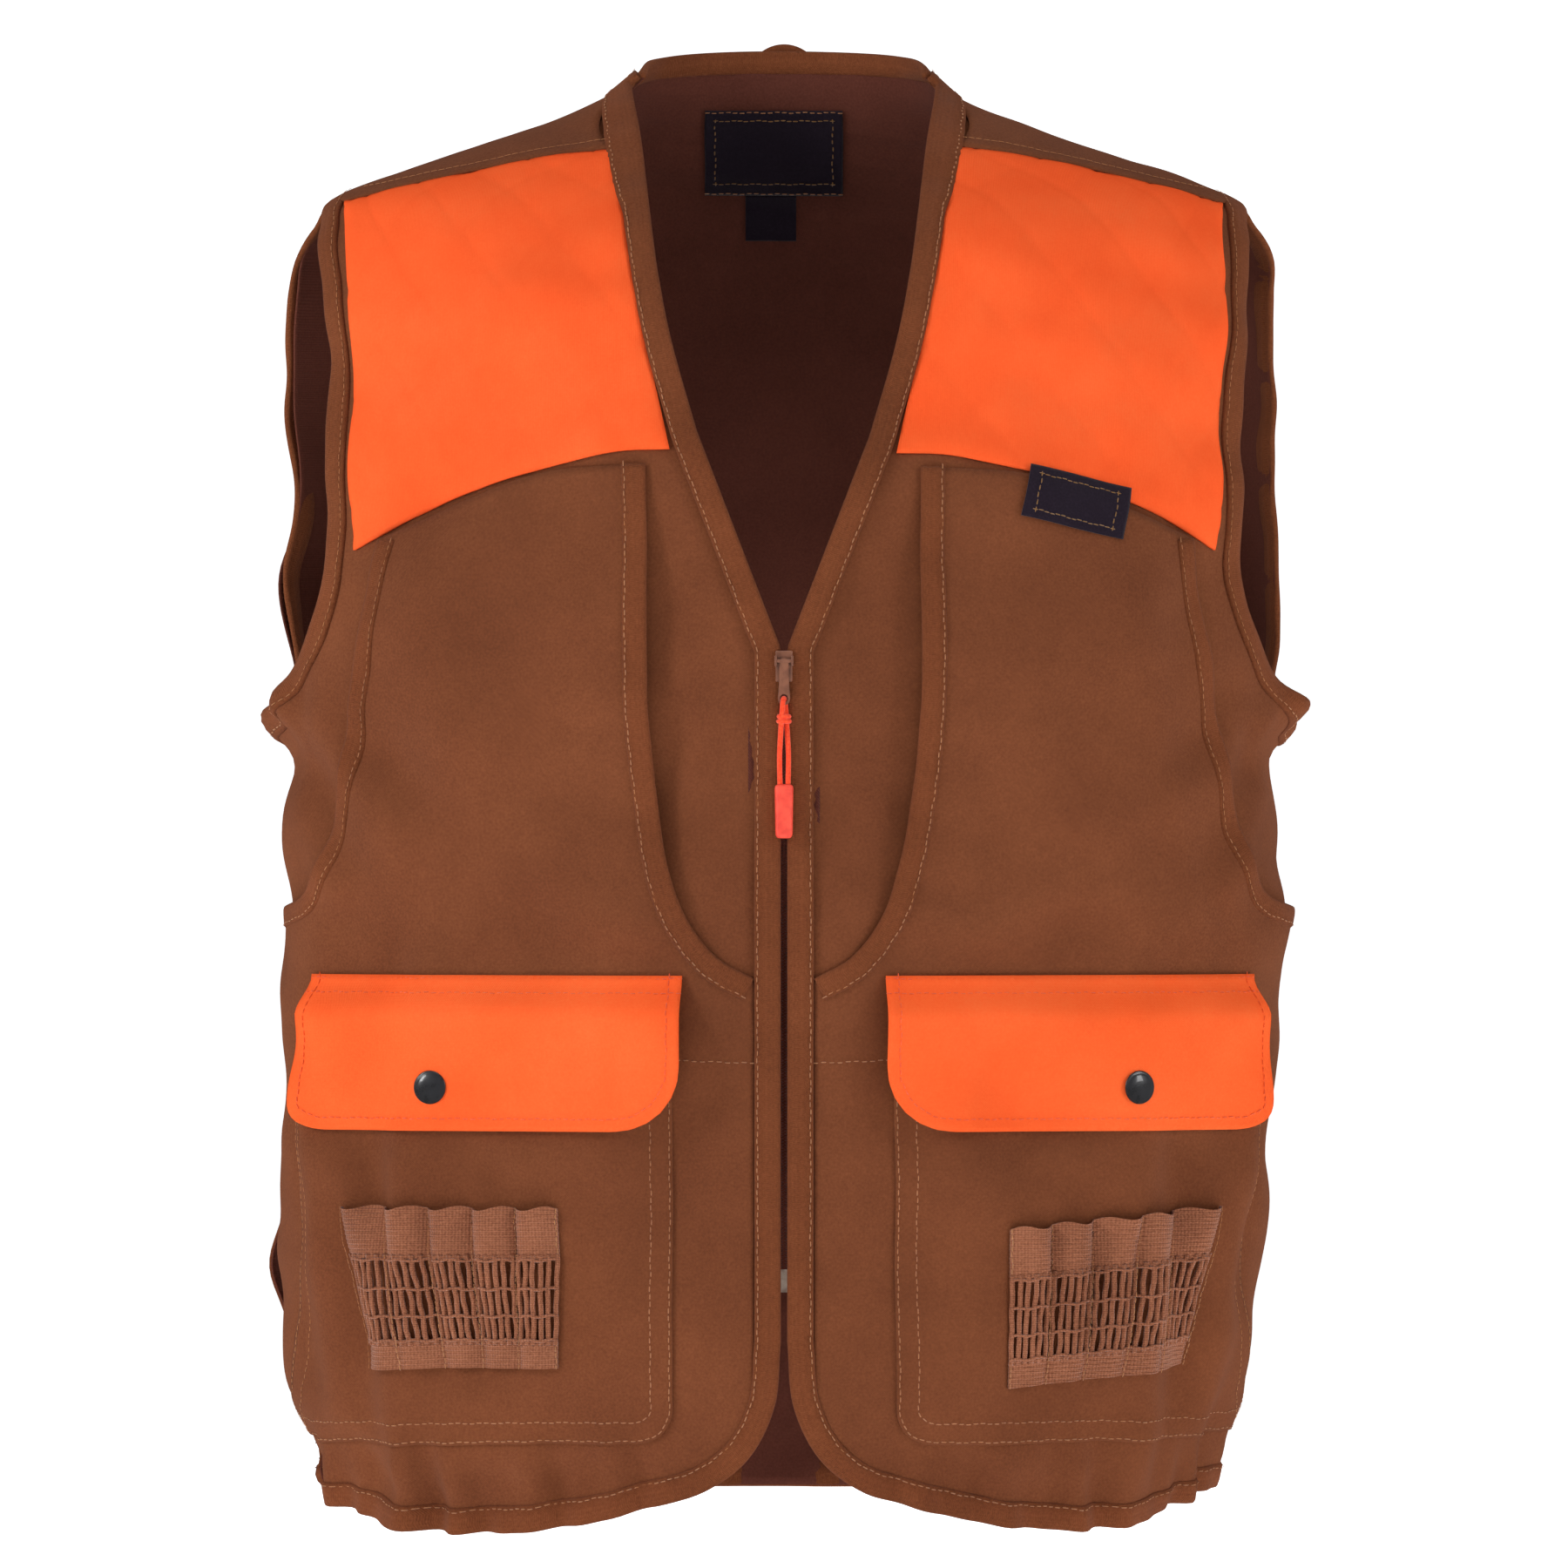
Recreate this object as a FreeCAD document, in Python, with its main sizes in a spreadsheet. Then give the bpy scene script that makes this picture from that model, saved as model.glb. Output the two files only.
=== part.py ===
import FreeCAD, Part
import math
import os
from types import SimpleNamespace

import Sketcher
from FreeCAD import Placement, Rotation, Vector

# A zip-front hunting vest, size L, as it stands on a wearer. All sizes are in millimetres.
# +Z is up, the front faces -Y and +X is the wearer's left. Levels are measured up from the lowest
# point of the hem; every finished piece is then lowered, so that the origin is the centre of the
# wearer's neck at the height of the shoulder seams.

DIMENSIONS = (
    # cloth and layers: each layer is a distance out from the wearer's form
    ("cloth", 1.2, "thickness of one cloth layer"),
    ("ease", 0.1, "clearance between two layers sewn together"),
    ("quilt", 2.5, "thickness of the quilted shoulder patch"),
    ("label_cloth", 0.6, "thickness of a woven label"),
    ("standoff", 8.5, "how far the front panel stands off at its pocket mouths"),
    ("pocket_depth", 9.0, "inside depth of an empty cargo pocket"),
    ("flap_gap", 2.4, "space between a cargo pocket and its flap"),
    ("loop_depth", 8.0, "inside depth of an elastic shell loop"),
    ("bag_depth", 20, "inside depth of the game bag at the centre of the back"),
    ("binding", 12, "width of the edge binding"),
    ("pocket_binding", 11, "width of the binding on the pocket mouths"),
    # joints between the back and the two fronts
    ("seam_plane", 20, "where the fronts meet the back"),
    ("seam_gap", 0.4, "clearance on each side of that plane"),
    ("reach", 200, "depth of the blocks that trim the layers"),
    ("outside", 264, "half-width clear of every layer"),
    ("above", 765, "level clear of every layer"),
    ("origin_level", 700, "level of the origin"),
    # front edges
    ("front_gap", 2.2, "from the centre line to a front edge"),
    ("zip_bottom", 116, "level of the zipper's lower end"),
    ("zip_top", 418, "level of the topmost zipper element"),
    ("v_bottom", 425, "level of the bottom of the V neck"),
    ("v_bend_x", 42, "half-width of the V neck where it starts to steepen"),
    ("v_bend_z", 528, "level of that point"),
    ("v_side_x", 64, "half-width of the V neck at chest level"),
    ("v_side_z", 612, "level of that point"),
    ("neck_x", 75, "half-width of the neck"),
    ("neck_z", 706, "level of the neck edge at the side"),
    ("neck_back_z", 717, "level of the neck edge at the centre of the back"),
    ("corner_z", 92, "level where the front edge starts to round into the hem"),
    ("corner_mid_x", 17, "half-width at the middle of that round"),
    ("corner_mid_z", 37, "level there"),
    ("corner_x", 62, "half-width where the round ends"),
    ("corner_end_z", 13, "level there"),
    ("hem_low_x", 145, "half-width at the lowest point of the hem"),
    ("hem_side_x", 217, "half-width where the hem leaves the front"),
    ("hem_side_z", 17, "level of the hem at the side"),
    ("hem_back_z", 14, "level of the hem at the centre of the back"),
    # armhole
    ("armhole_low_x", 254, "half-width at the bottom of the armhole"),
    ("armhole_low_z", 389, "level there"),
    ("armhole_turn_x", 229, "half-width of the armhole's lower turn"),
    ("armhole_turn_z", 427, "level there"),
    ("armhole_in_x", 219, "half-width where the armhole is deepest"),
    ("armhole_in_z", 480, "level there"),
    ("armhole_mid_x", 222, "half-width of the armhole at chest level"),
    ("armhole_mid_z", 562, "level there"),
    ("armhole_top_x", 226, "half-width at the shoulder tip"),
    ("armhole_top_z", 645, "level there"),
    ("armhole_back", 15, "how much wider the back is at the armhole"),
    # shoulder patch and yoke
    ("patch_in_x", 55.8, "half-width of the patch's lower inner corner"),
    ("patch_in_z", 519, "level there"),
    ("patch_side_x", 73, "half-width at the middle of its inner edge"),
    ("patch_side_z", 590, "level there"),
    ("patch_top_in_x", 84, "half-width of its upper inner corner"),
    ("patch_top_in_z", 667, "level there"),
    ("patch_top_out_z", 642, "level of its upper outer corner"),
    ("patch_out_x", 210.4, "half-width of its outer edge"),
    ("patch_low_x", 206.4, "half-width of its lower outer corner"),
    ("patch_low_z", 473, "level there"),
    ("patch_bow_x", 140, "half-width at the middle of its lower edge"),
    ("patch_bow_z", 504, "level there"),
    # front panel, with a J-shaped chest pocket mouth and a game bag mouth at the side
    ("j_x", 65, "half-width of the straight part of the J"),
    ("j_turn_z", 400, "level where the J starts to turn"),
    ("j_mid_x", 56, "half-width at the middle of the turn"),
    ("j_mid_z", 318, "level there"),
    ("j_end_z", 266, "level where the J meets the zipper binding"),
    ("bag_mouth_top_x", 193, "half-width of the top of the bag mouth"),
    ("bag_mouth_mid_x", 204, "half-width of its middle"),
    ("bag_mouth_mid_z", 395, "level there"),
    ("bag_mouth_low_x", 216, "half-width where it turns outwards"),
    ("bag_mouth_low_z", 325, "level there"),
    ("bag_mouth_end_x", 238, "half-width of its outer end"),
    ("bag_mouth_end_z", 299, "level there"),
    # cargo pocket, flap and snap
    ("pocket_in_x", 54, "half-width of the pocket's inner edge"),
    ("pocket_out_x", 231, "half-width of its outer edge"),
    ("pocket_low_z", 43, "level of its bottom"),
    ("pocket_top_z", 250, "level of its mouth"),
    ("pocket_corner", 17, "radius of its bottom corners"),
    ("flap_in_x", 51, "half-width of the flap's inner edge"),
    ("flap_out_x", 236, "half-width of its outer edge"),
    ("flap_top_z", 262, "level of the flap's upper edge"),
    ("flap_low_z", 193, "level of its lower edge"),
    ("flap_in_corner", 32, "radius of its inner corner"),
    ("flap_out_corner", 14, "radius of its outer corner"),
    ("header_gap", 0.6, "clearance between the flap and its header"),
    ("header", 7, "height of the header that carries the flap"),
    ("snap_x", 173, "half-width of the snap's axis at the pocket cloth"),
    ("snap_z", 214, "level of the snap"),
    ("snap_cap", 8, "radius of the snap cap"),
    ("snap_cap_height", 1.6, "height of the cap's crown"),
    ("snap_socket", 5.6, "outer radius of the socket"),
    ("snap_bore", 2.6, "radius of the socket's bore"),
    ("snap_stud", 2.1, "radius of the stud's head"),
    ("snap_base", 5, "radius of the stud's base"),
    ("snap_sheet", 0.5, "thickness of the stud's base"),
    # shell loops
    ("loops_in_x", 112, "half-width of the loops' inner edge"),
    ("loops_out_x", 214, "half-width of their outer edge"),
    ("loops_low_z", 80, "level of their lower edge"),
    ("loops_top_z", 156, "level of their upper edge"),
    ("loop_count", 5, "shell loops on each pocket"),
    ("loop_seam", 2.2, "width of the seam between two loops"),
    # game bag
    ("bag_low_z", 30, "level of the game bag's bottom"),
    ("bag_band_z", 216, "level where its upper band starts"),
    ("bag_top_z", 299, "level of its mouth"),
    # zipper
    ("tape_width", 15, "visible width of one zipper tape"),
    ("tape", 0.8, "thickness of the zipper tape"),
    ("chain_in", 0.2, "from the centre line to the zipper elements"),
    ("chain_width", 1.9, "width of one row of elements"),
    ("chain_depth", 2.6, "front-to-back size of the elements"),
    ("slider_width", 9.6, "width of the slider"),
    ("slider_height", 15, "height of the slider"),
    ("slider_plate", 1.4, "thickness of the slider's front plate"),
    ("slider_drop", 9, "how far the slider's foot is below the top element"),
    ("stop_height", 11, "height of the retainer box and pin"),
    ("tab_width", 6.4, "width of the pull tab"),
    ("cheek", 1.2, "thickness of the slider's cheeks beside the tab"),
    ("tab_play", 0.3, "clearance between the tab and each cheek"),
    ("tab_length", 21, "length of the pull tab"),
    ("tab_thick", 1.3, "thickness of the pull tab"),
    ("tab_hole", 1.9, "radius of the hole at the tab's end"),
    ("tab_eye", 1.35, "radius of the hole at the tab's pivot"),
    ("tab_wall", 0.4, "thickness of the tab around that hole"),
    ("pivot", 1.2, "radius of the slider's crown bar"),
    ("cord", 2.6, "diameter of the pull cord"),
    ("cord_spread", 1.9, "from the pull's middle to each strand"),
    ("grip_width", 9, "width of the moulded grip"),
    ("grip_height", 26, "height of the moulded grip"),
    ("grip_thick", 5.4, "thickness of the moulded grip"),
    ("grip_top_z", 360, "level of the top of the grip"),
    # labels and hanger loop
    ("neck_label_in_x", -39, "wearer's right edge of the neck label"),
    ("neck_label_out_x", 29, "wearer's left edge of the neck label"),
    ("neck_label_low_z", 650, "level of its lower edge"),
    ("neck_label_top_z", 691, "level of its upper edge"),
    ("size_tab_in_x", -19, "wearer's right edge of the size tab"),
    ("size_tab_out_x", 6, "wearer's left edge of the size tab"),
    ("size_tab_height", 21, "height of the size tab"),
    ("chest_label_x", 116, "half-width of the chest label's inner edge"),
    ("chest_label_width", 45, "width of the chest label"),
    ("chest_label_height", 23, "height of the chest label"),
    ("chest_label_tilt", 13, "how far its outer end hangs lower"),
    ("chest_label_z", 507, "level of its upper inner corner"),
    ("hanger_radius", 17, "radius of the hanger loop"),
    ("hanger_tape", 1.5, "radius of the hanger loop's cord"),
    ("hanger_level", 705, "level of the hanger loop's centre"),
)

# The wearer's form: elliptic sections, each with its level, half-width, half-depth, how far it is
# shifted back, the lean of its wall in degrees, and how much of the standoff the front panel has.
FORM = (
    ("below", -14, 206, 126, 0, 0, 0),
    ("hem", 17, 214, 131, 0, 0, 0),
    ("hip", 60, 226, 136, 0, 0, 0),
    ("pocket", 116, 236, 139, 0, 0, 0),
    ("waist", 200, 238, 139, 0, 0, 0),
    ("pocket_top", 258, 238, 139, 0, 0, 0),
    ("flap", 272, 238, 139, 0, 0, 0),
    ("low_ribs", 290, 238, 139, 0, 0, 0.07),
    ("ribs", 325, 238, 139, 0, 0, 0.7),
    ("midriff", 380, 239, 139, 0, 0, 1),
    ("underarm", 425, 240, 139, 0, 0, 1),
    ("chest", 480, 238, 134, 0, 0, 0.5),
    ("patch", 550, 239, 120, 3, 0, 0),
    ("upper_chest", 600, 236, 103, 8, 5, 0),
    ("shoulder_side", 630, 230, 90, 12, 22, 0),
    ("shoulder_tip", 643, 220, 80, 15, 50, 0),
    ("shoulder", 653, 197, 72, 18, 70, 0),
    ("shoulder_mid", 663, 165, 65, 21, 72, 0),
    ("neck_slope", 678, 119, 56, 25, 70, 0),
    ("neck_foot", 693, 85, 51, 29, 56, 0),
    ("neck", 706, 70, 48, 33, 32, 0),
    ("collar", 724, 62, 46, 38, 14, 0),
    ("top", 750, 57, 45, 42, 5, 0),
)

LOW_SECTIONS = 12  # the sections from below the hem to the chest, which the game bag needs

doc = FreeCAD.newDocument("hunting_vest")
sheet = doc.addObject("Spreadsheet::Sheet", "Dimensions")


class Size:
    """A value worked out from the sheet, with the formula that binds a property to it."""

    def __init__(self, value, formula):
        self.value = value
        self.formula = formula

    def join(self, sign, other, value):
        return Size(value, "(%s %s %s)" % (self.formula, sign, other.formula))

    def __add__(self, other):
        other = as_size(other)
        return self.join("+", other, self.value + other.value)

    def __sub__(self, other):
        other = as_size(other)
        return self.join("-", other, self.value - other.value)

    def __mul__(self, other):
        other = as_size(other)
        return self.join("*", other, self.value * other.value)

    def __truediv__(self, other):
        other = as_size(other)
        return self.join("/", other, self.value / other.value)

    def __neg__(self):
        return self * -1


def as_size(number):
    return number if isinstance(number, Size) else Size(float(number), "(%s)" % number)


def fill_sheet():
    """Write every driving dimension as text with an alias, and return them by name."""
    rows = [(name, value, words) for name, value, words in DIMENSIONS]
    for section in FORM:
        for part, value in zip(("level", "half_width", "half_depth", "shift", "lean", "off"), section[1:]):
            rows.append(("%s_%s" % (section[0], part), value, "%s of the form at the %s" % (part, section[0])))
    for row, (name, value, words) in enumerate(rows, start=1):
        sheet.set("A%d" % row, words)
        sheet.set("B%d" % row, str(value))
        sheet.setAlias("B%d" % row, name)
    return SimpleNamespace(**{name: Size(float(value), "Dimensions." + name) for name, value, _ in rows})


S = fill_sheet()
doc.recompute()


def bind(obj, **sizes):
    """Bind properties to the sheet; a placement part is written base_x, base_y or base_z."""
    for name, size in sizes.items():
        path = "Placement.Base." + name[-1] if name.startswith("base_") else name
        obj.setExpression(path, as_size(size).formula)
    return obj


def new(kind, name, **sizes):
    return bind(doc.addObject(kind, name), **sizes)


# ---------------------------------------------------------------- layers over the form

def form_surface(name, side, depth, standing=False, low_part=False):
    """The form grown outwards by side at its sides and by depth at its front and back."""
    sections = []
    for label, _, _, _, _, lean, _ in (FORM[:LOW_SECTIONS] if low_part else FORM):
        level, half_width, half_depth, shift, _, off = (
            getattr(S, "%s_%s" % (label, part))
            for part in ("level", "half_width", "half_depth", "shift", "lean", "off"))
        out_side, out_depth = as_size(side), as_size(depth)
        if standing:
            out_side = out_side + S.standoff * off
            out_depth = out_depth + S.standoff * off
        flat, steep = math.cos(math.radians(lean)), math.sin(math.radians(lean))
        ellipse = new("Part::Ellipse", "%s_%s" % (name, label),
                      MajorRadius=half_width + out_side * flat,
                      MinorRadius=half_depth + out_depth * flat,
                      base_y=shift,
                      base_z=level + out_side * steep)
        ellipse.Placement = Placement(Vector(), Rotation(Vector(0, 0, 1), 180))
        sections.append(ellipse)
    loft = doc.addObject("Part::Loft", name)
    loft.Sections = sections
    loft.Solid = True
    return loft


def cut(name, base, tool):
    obj = doc.addObject("Part::Cut", name)
    obj.Base, obj.Tool = base, tool
    return obj


def common(name, base, tool):
    obj = doc.addObject("Part::Common", name)
    obj.Base, obj.Tool = base, tool
    return obj


def fuse(name, *shapes):
    obj = doc.addObject("Part::MultiFuse", name)
    obj.Shapes = list(shapes)
    return obj


def make_layers():
    """Every layer of the vest as a hollow shell: the outer surface less the inner one."""
    label_in = -(S.ease + S.label_cloth)
    panel_in = S.cloth + S.ease
    trim_in = panel_in + S.cloth + S.ease
    pocket_in = trim_in + S.pocket_depth
    pocket_out = pocket_in + S.cloth
    flap_in = pocket_out + S.flap_gap
    flap_out = flap_in + S.cloth
    loop_in = pocket_out + S.ease
    loop_out = loop_in + S.loop_depth
    bag_in = trim_in + S.bag_depth
    spans = {
        "label": (label_in, -S.ease),
        "lining": (as_size(0), S.cloth),
        "panel": (panel_in, panel_in + S.cloth),
        "patch": (panel_in, panel_in + S.quilt),
        "trim": (trim_in, trim_in + S.cloth),
        "pocket": (trim_in, pocket_out),
        "pocket_hollow": (trim_in, pocket_in),
        "loops": (loop_in, loop_out + S.cloth),
        "loop_hollow": (loop_in, loop_out),
        "flap": (flap_in, flap_out),
        "header": (trim_in, flap_out),
        "stand_panel": (panel_in, panel_in + S.cloth),
        "stand_trim": (trim_in, trim_in + S.cloth),
    }
    surfaces, layers = {}, {}

    def surface(side, depth, standing=False, low_part=False):
        key = "surface_%d_%d_%d" % (round(side.value * 10), round(depth.value * 10), standing)
        key = key.replace("-", "minus_")
        if key not in surfaces:
            surfaces[key] = form_surface(key, side, depth, standing, low_part)
        return surfaces[key]

    for name, (inner, outer) in spans.items():
        standing = name.startswith("stand_")
        layers[name] = cut("layer_" + name, surface(outer, outer, standing), surface(inner, inner, standing))
    bag_skin = surface(pocket_in, bag_in, low_part=True)
    bag_outside = surface(pocket_out, bag_in + S.cloth, low_part=True)
    bag_rim = surface(pocket_out + S.cloth, bag_in + S.cloth * 2, low_part=True)
    base = surface(panel_in, panel_in)
    layers["bag"] = cut("layer_bag", bag_outside, base)
    layers["bag_hollow"] = cut("layer_bag_hollow", bag_skin, base)
    layers["bag_rim"] = cut("layer_bag_rim", bag_rim, bag_outside)
    return SimpleNamespace(**layers)


# ---------------------------------------------------------------- outlines seen from the front

FRONT_PLANE = Rotation(Vector(1, 0, 0), 90)
SIDE_PLANE = Rotation(Vector(1, 1, 1), 120)


def sketch_outline(name, *steps, plane=FRONT_PLANE):
    """A closed sketch in the front plane, or (y, z) in the side plane; a step is a corner (x, z), or
    ("arc", x, z, x, z): an arc from the last corner through the first point to the second."""
    sketch = doc.addObject("Sketcher::SketchObject", name)
    sketch.Placement = Placement(Vector(), plane)
    corners = [step if step[0] != "arc" else step[3:] for step in steps]
    through = [step[1:3] if step[0] == "arc" else None for step in steps[1:]]
    if (flat_point(corners[-1]) - flat_point(corners[0])).Length < 1e-6:
        corners.pop()
    else:
        through.append(None)
    count = len(corners)
    for index, middle in enumerate(through):
        start, end = flat_point(corners[index]), flat_point(corners[(index + 1) % count])
        edge = Part.Arc(start, flat_point(middle), end) if middle else Part.LineSegment(start, end)
        sketch.addGeometry(edge, False)
    ends = [edge_ends(sketch, index, corners[index]) for index in range(count)]
    for index in range(count):
        following = (index + 1) % count
        sketch.addConstraint(Sketcher.Constraint("Coincident", index, ends[index][1], following,
                                                 ends[following][0]))
        pin_point(sketch, index, ends[index][0], *corners[index])
    for index, middle in enumerate(through):
        if middle:
            point = sketch.addGeometry(Part.Point(flat_point(middle)), True)
            sketch.addConstraint(Sketcher.Constraint("PointOnObject", point, 1, index))
            pin_point(sketch, point, 1, *middle)
    return sketch


def flat_point(corner):
    """An outline's corner as a vector in its sketch."""
    return Vector(as_size(corner[0]).value, as_size(corner[1]).value, 0)


def edge_ends(sketch, index, start):
    """Which vertex of an edge is its start on the outline, and which is its end."""
    first = sketch.getPoint(index, 1)
    return (1, 2) if (first - flat_point(start)).Length < 1e-6 else (2, 1)


def pin_point(sketch, index, vertex, x, z):
    """Hold a vertex at x, z from the sketch's origin, bound to the sheet."""
    for kind, size in (("DistanceX", as_size(x)), ("DistanceY", as_size(z))):
        number = sketch.addConstraint(Sketcher.Constraint(kind, -1, 1, index, vertex, size.value))
        sketch.setExpression("Constraints[%d]" % number, size.formula)


def block(name, profile, front=True):
    """A profile run from the side seam's plane to clear of every layer, forwards or backwards."""
    solid = doc.addObject("Part::Extrusion", name)
    solid.Base = profile
    solid.DirMode = "Custom"
    solid.Dir = Vector(0, -1, 0)
    solid.Solid = True
    if front:
        bind(solid, LengthFwd=S.reach, LengthRev=S.seam_plane - S.seam_gap)
    else:
        bind(solid, LengthFwd=-S.seam_plane - S.seam_gap, LengthRev=S.reach)
    return solid


def band(name, profile, width, front=True):
    """The strip of the given width along the inside of an outline, as a block."""
    inset = doc.addObject("Part::Offset2D", name + "_inset")
    inset.Source = profile
    bind(inset, Value=-width)
    return cut(name, block(name + "_outer", profile, front), block(name + "_inner", inset, front))


def box_block(name, x0, x1, z0, z1, front=True):
    return block(name, sketch_outline(name + "_outline", (x0, z0), (x1, z0), (x1, z1), (x0, z1)), front)


# ---------------------------------------------------------------- finished pieces

finished = []


def finish(obj, label, lowered=False):
    """Name a piece and lower it, so that the origin is at the neck."""
    obj.Label = label
    if not lowered:
        bind(obj, base_z=-S.origin_level)
    finished.append(obj)
    return obj


def both_sides(obj, name, lowered=False):
    """Finish a wearer's-left piece and its mirror image on the wearer's right."""
    finish(obj, name + "_left", lowered)
    finish(mirrored(name + "_mirror", obj), name + "_right", lowered=True)


L = make_layers()


def front_outline():
    """One front: zipper edge, V neck, shoulder, armhole, side and the rounded hem corner."""
    return sketch_outline(
        "front_outline",
        (S.front_gap, S.corner_z),
        (S.front_gap, S.v_bottom),
        (S.v_bend_x, S.v_bend_z),
        ("arc", S.v_side_x, S.v_side_z, S.neck_x, S.neck_z),
        (S.neck_x, S.above),
        (S.armhole_top_x, S.above),
        (S.armhole_top_x, S.armhole_top_z),
        ("arc", S.armhole_mid_x, S.armhole_mid_z, S.armhole_in_x, S.armhole_in_z),
        ("arc", S.armhole_turn_x, S.armhole_turn_z, S.armhole_low_x, S.armhole_low_z),
        (S.outside, S.armhole_low_z),
        (S.outside, S.hem_side_z),
        (S.hem_side_x, S.hem_side_z),
        ("arc", S.hem_low_x, S.ease, S.corner_x, S.corner_end_z),
        ("arc", S.corner_mid_x, S.corner_mid_z, S.front_gap, S.corner_z))


def make_front_cloth():
    """Lining, its edge binding and the front half of the armhole binding."""
    outline = front_outline()
    both_sides(common("front_lining", L.lining, block("front_block", outline)), "front_lining")
    edge = band("front_edge_band", outline, S.binding)
    edge_strip = common("front_edge_strip", L.trim, edge)
    zone_outline = sketch_outline(
        "front_edge_zone_outline",
        (0, -S.binding), (S.outside, -S.binding), (S.outside, S.bag_low_z * 2),
        (S.hem_low_x, S.bag_low_z * 2), (S.hem_low_x, S.above), (0, S.above))
    both_sides(common("front_edge_binding", edge_strip, block("front_edge_zone", zone_outline)),
               "front_edge_binding")
    arm_strip = common("armhole_front_strip", L.panel, edge)
    zone = box_block("armhole_front_zone", S.hem_low_x, S.outside, S.bag_band_z, S.above)
    both_sides(common("armhole_binding_front", arm_strip, zone), "armhole_binding_front")


def make_shoulder():
    """Quilted shoulder patch, and the yoke above it up to the shoulder seam."""
    patch = sketch_outline(
        "patch_outline",
        (S.patch_in_x, S.patch_in_z),
        ("arc", S.patch_side_x, S.patch_side_z, S.patch_top_in_x, S.patch_top_in_z),
        (S.patch_out_x, S.patch_top_out_z),
        (S.patch_low_x, S.patch_low_z),
        ("arc", S.patch_bow_x, S.patch_bow_z, S.patch_in_x, S.patch_in_z))
    both_sides(common("shoulder_patch", L.patch, block("patch_block", patch)), "shoulder_patch")
    yoke = sketch_outline(
        "yoke_outline",
        (S.patch_top_in_x + S.binding / 2, S.patch_top_in_z),
        (S.patch_out_x, S.patch_top_out_z + S.ease * 4),
        (S.patch_out_x, S.above),
        (S.patch_top_in_x + S.binding / 2, S.above))
    both_sides(common("shoulder_yoke", L.panel, block("yoke_block", yoke)), "shoulder_yoke")


def panel_outline():
    """The front panel: J-shaped pocket mouth, lower edge of the patch, bag mouth and side. Its lower
    edge stops where the hem binding starts."""
    inner = S.front_gap + S.binding + S.ease * 3
    lift = S.binding + S.cloth
    return sketch_outline(
        "panel_outline",
        (inner, S.corner_z - S.binding * 2),
        (inner, S.j_end_z),
        ("arc", S.j_mid_x, S.j_mid_z, S.j_x, S.j_turn_z),
        (S.j_x, S.patch_in_z - S.ease * 35),
        ("arc", S.patch_bow_x, S.patch_bow_z - S.ease * 12, S.bag_mouth_top_x, S.patch_low_z + S.cloth * 6),
        ("arc", S.bag_mouth_mid_x, S.bag_mouth_mid_z, S.bag_mouth_low_x, S.bag_mouth_low_z),
        (S.bag_mouth_end_x, S.bag_mouth_end_z),
        (S.outside, S.bag_mouth_end_z),
        (S.outside, S.hem_side_z + lift),
        (S.hem_side_x, S.hem_side_z + lift),
        ("arc", S.hem_low_x, S.ease + lift, S.corner_x, S.corner_end_z + lift))


def make_front_panel():
    """The outer front panel with the bindings of its two pocket mouths."""
    outline = panel_outline()
    both_sides(common("front_panel", L.stand_panel, block("panel_block", outline)), "front_panel")
    mouths = band("panel_band", outline, S.pocket_binding)
    strip = common("mouth_strip", L.stand_trim, mouths)
    inner = S.front_gap + S.binding + S.ease * 3
    top = S.patch_low_z + S.ease * 5
    j_zone = sketch_outline(
        "j_zone_outline",
        (inner, S.flap_top_z + S.header + S.cloth), (S.patch_bow_x, S.flap_top_z + S.header + S.cloth),
        (S.patch_bow_x, S.j_turn_z), (S.j_x + S.pocket_binding + S.cloth, S.j_turn_z),
        (S.j_x + S.pocket_binding + S.cloth, S.patch_in_z - S.pocket_binding * 1.4), (inner, S.above))
    both_sides(common("chest_pocket_binding", strip, block("j_zone", j_zone)), "chest_pocket_binding")
    side_zone = box_block("side_zone", S.bag_mouth_top_x - S.pocket_binding - S.cloth, S.outside,
                          S.bag_mouth_end_z - S.pocket_binding * 1.5, top - S.pocket_binding)
    both_sides(common("bag_mouth_binding", strip, side_zone), "bag_mouth_binding")


def rounded(name, x0, x1, z0, z1, inner_radius, outer_radius):
    """A rectangle whose two lower corners are round, as a sketch in the front plane."""
    slack = 1 - math.sqrt(0.5)
    return sketch_outline(
        name,
        (x0, z1),
        (x0, z0 + inner_radius),
        ("arc", x0 + inner_radius * slack, z0 + inner_radius * slack, x0 + inner_radius, z0),
        (x1 - outer_radius, z0),
        ("arc", x1 - outer_radius * slack, z0 + outer_radius * slack, x1, z0 + outer_radius),
        (x1, z1))


def make_cargo_pocket():
    """Cargo pocket, open at the top, with its header and hinged flap."""
    wall = S.cloth
    body = common("pocket_body", L.pocket, block("pocket_block", rounded(
        "pocket_outline", S.pocket_in_x, S.pocket_out_x, S.pocket_low_z, S.pocket_top_z,
        S.pocket_corner, S.pocket_corner)))
    hollow = common("pocket_hollow", L.pocket_hollow, block("pocket_hollow_block", rounded(
        "pocket_hollow_outline", S.pocket_in_x + wall, S.pocket_out_x - wall, S.pocket_low_z + wall,
        S.pocket_top_z + wall, S.pocket_corner - wall, S.pocket_corner - wall)))
    both_sides(cut("cargo_pocket", body, hollow), "cargo_pocket")
    header_low = S.flap_top_z + S.header_gap
    header = box_block("header_block", S.flap_in_x, S.flap_out_x, header_low, header_low + S.header)
    both_sides(common("flap_header", L.header, header), "flap_header")
    flap = block("flap_block", rounded(
        "flap_outline", S.flap_in_x, S.flap_out_x, S.flap_low_z, S.flap_top_z,
        S.flap_in_corner, S.flap_out_corner))
    both_sides(common("pocket_flap", L.flap, flap), "pocket_flap")


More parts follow.
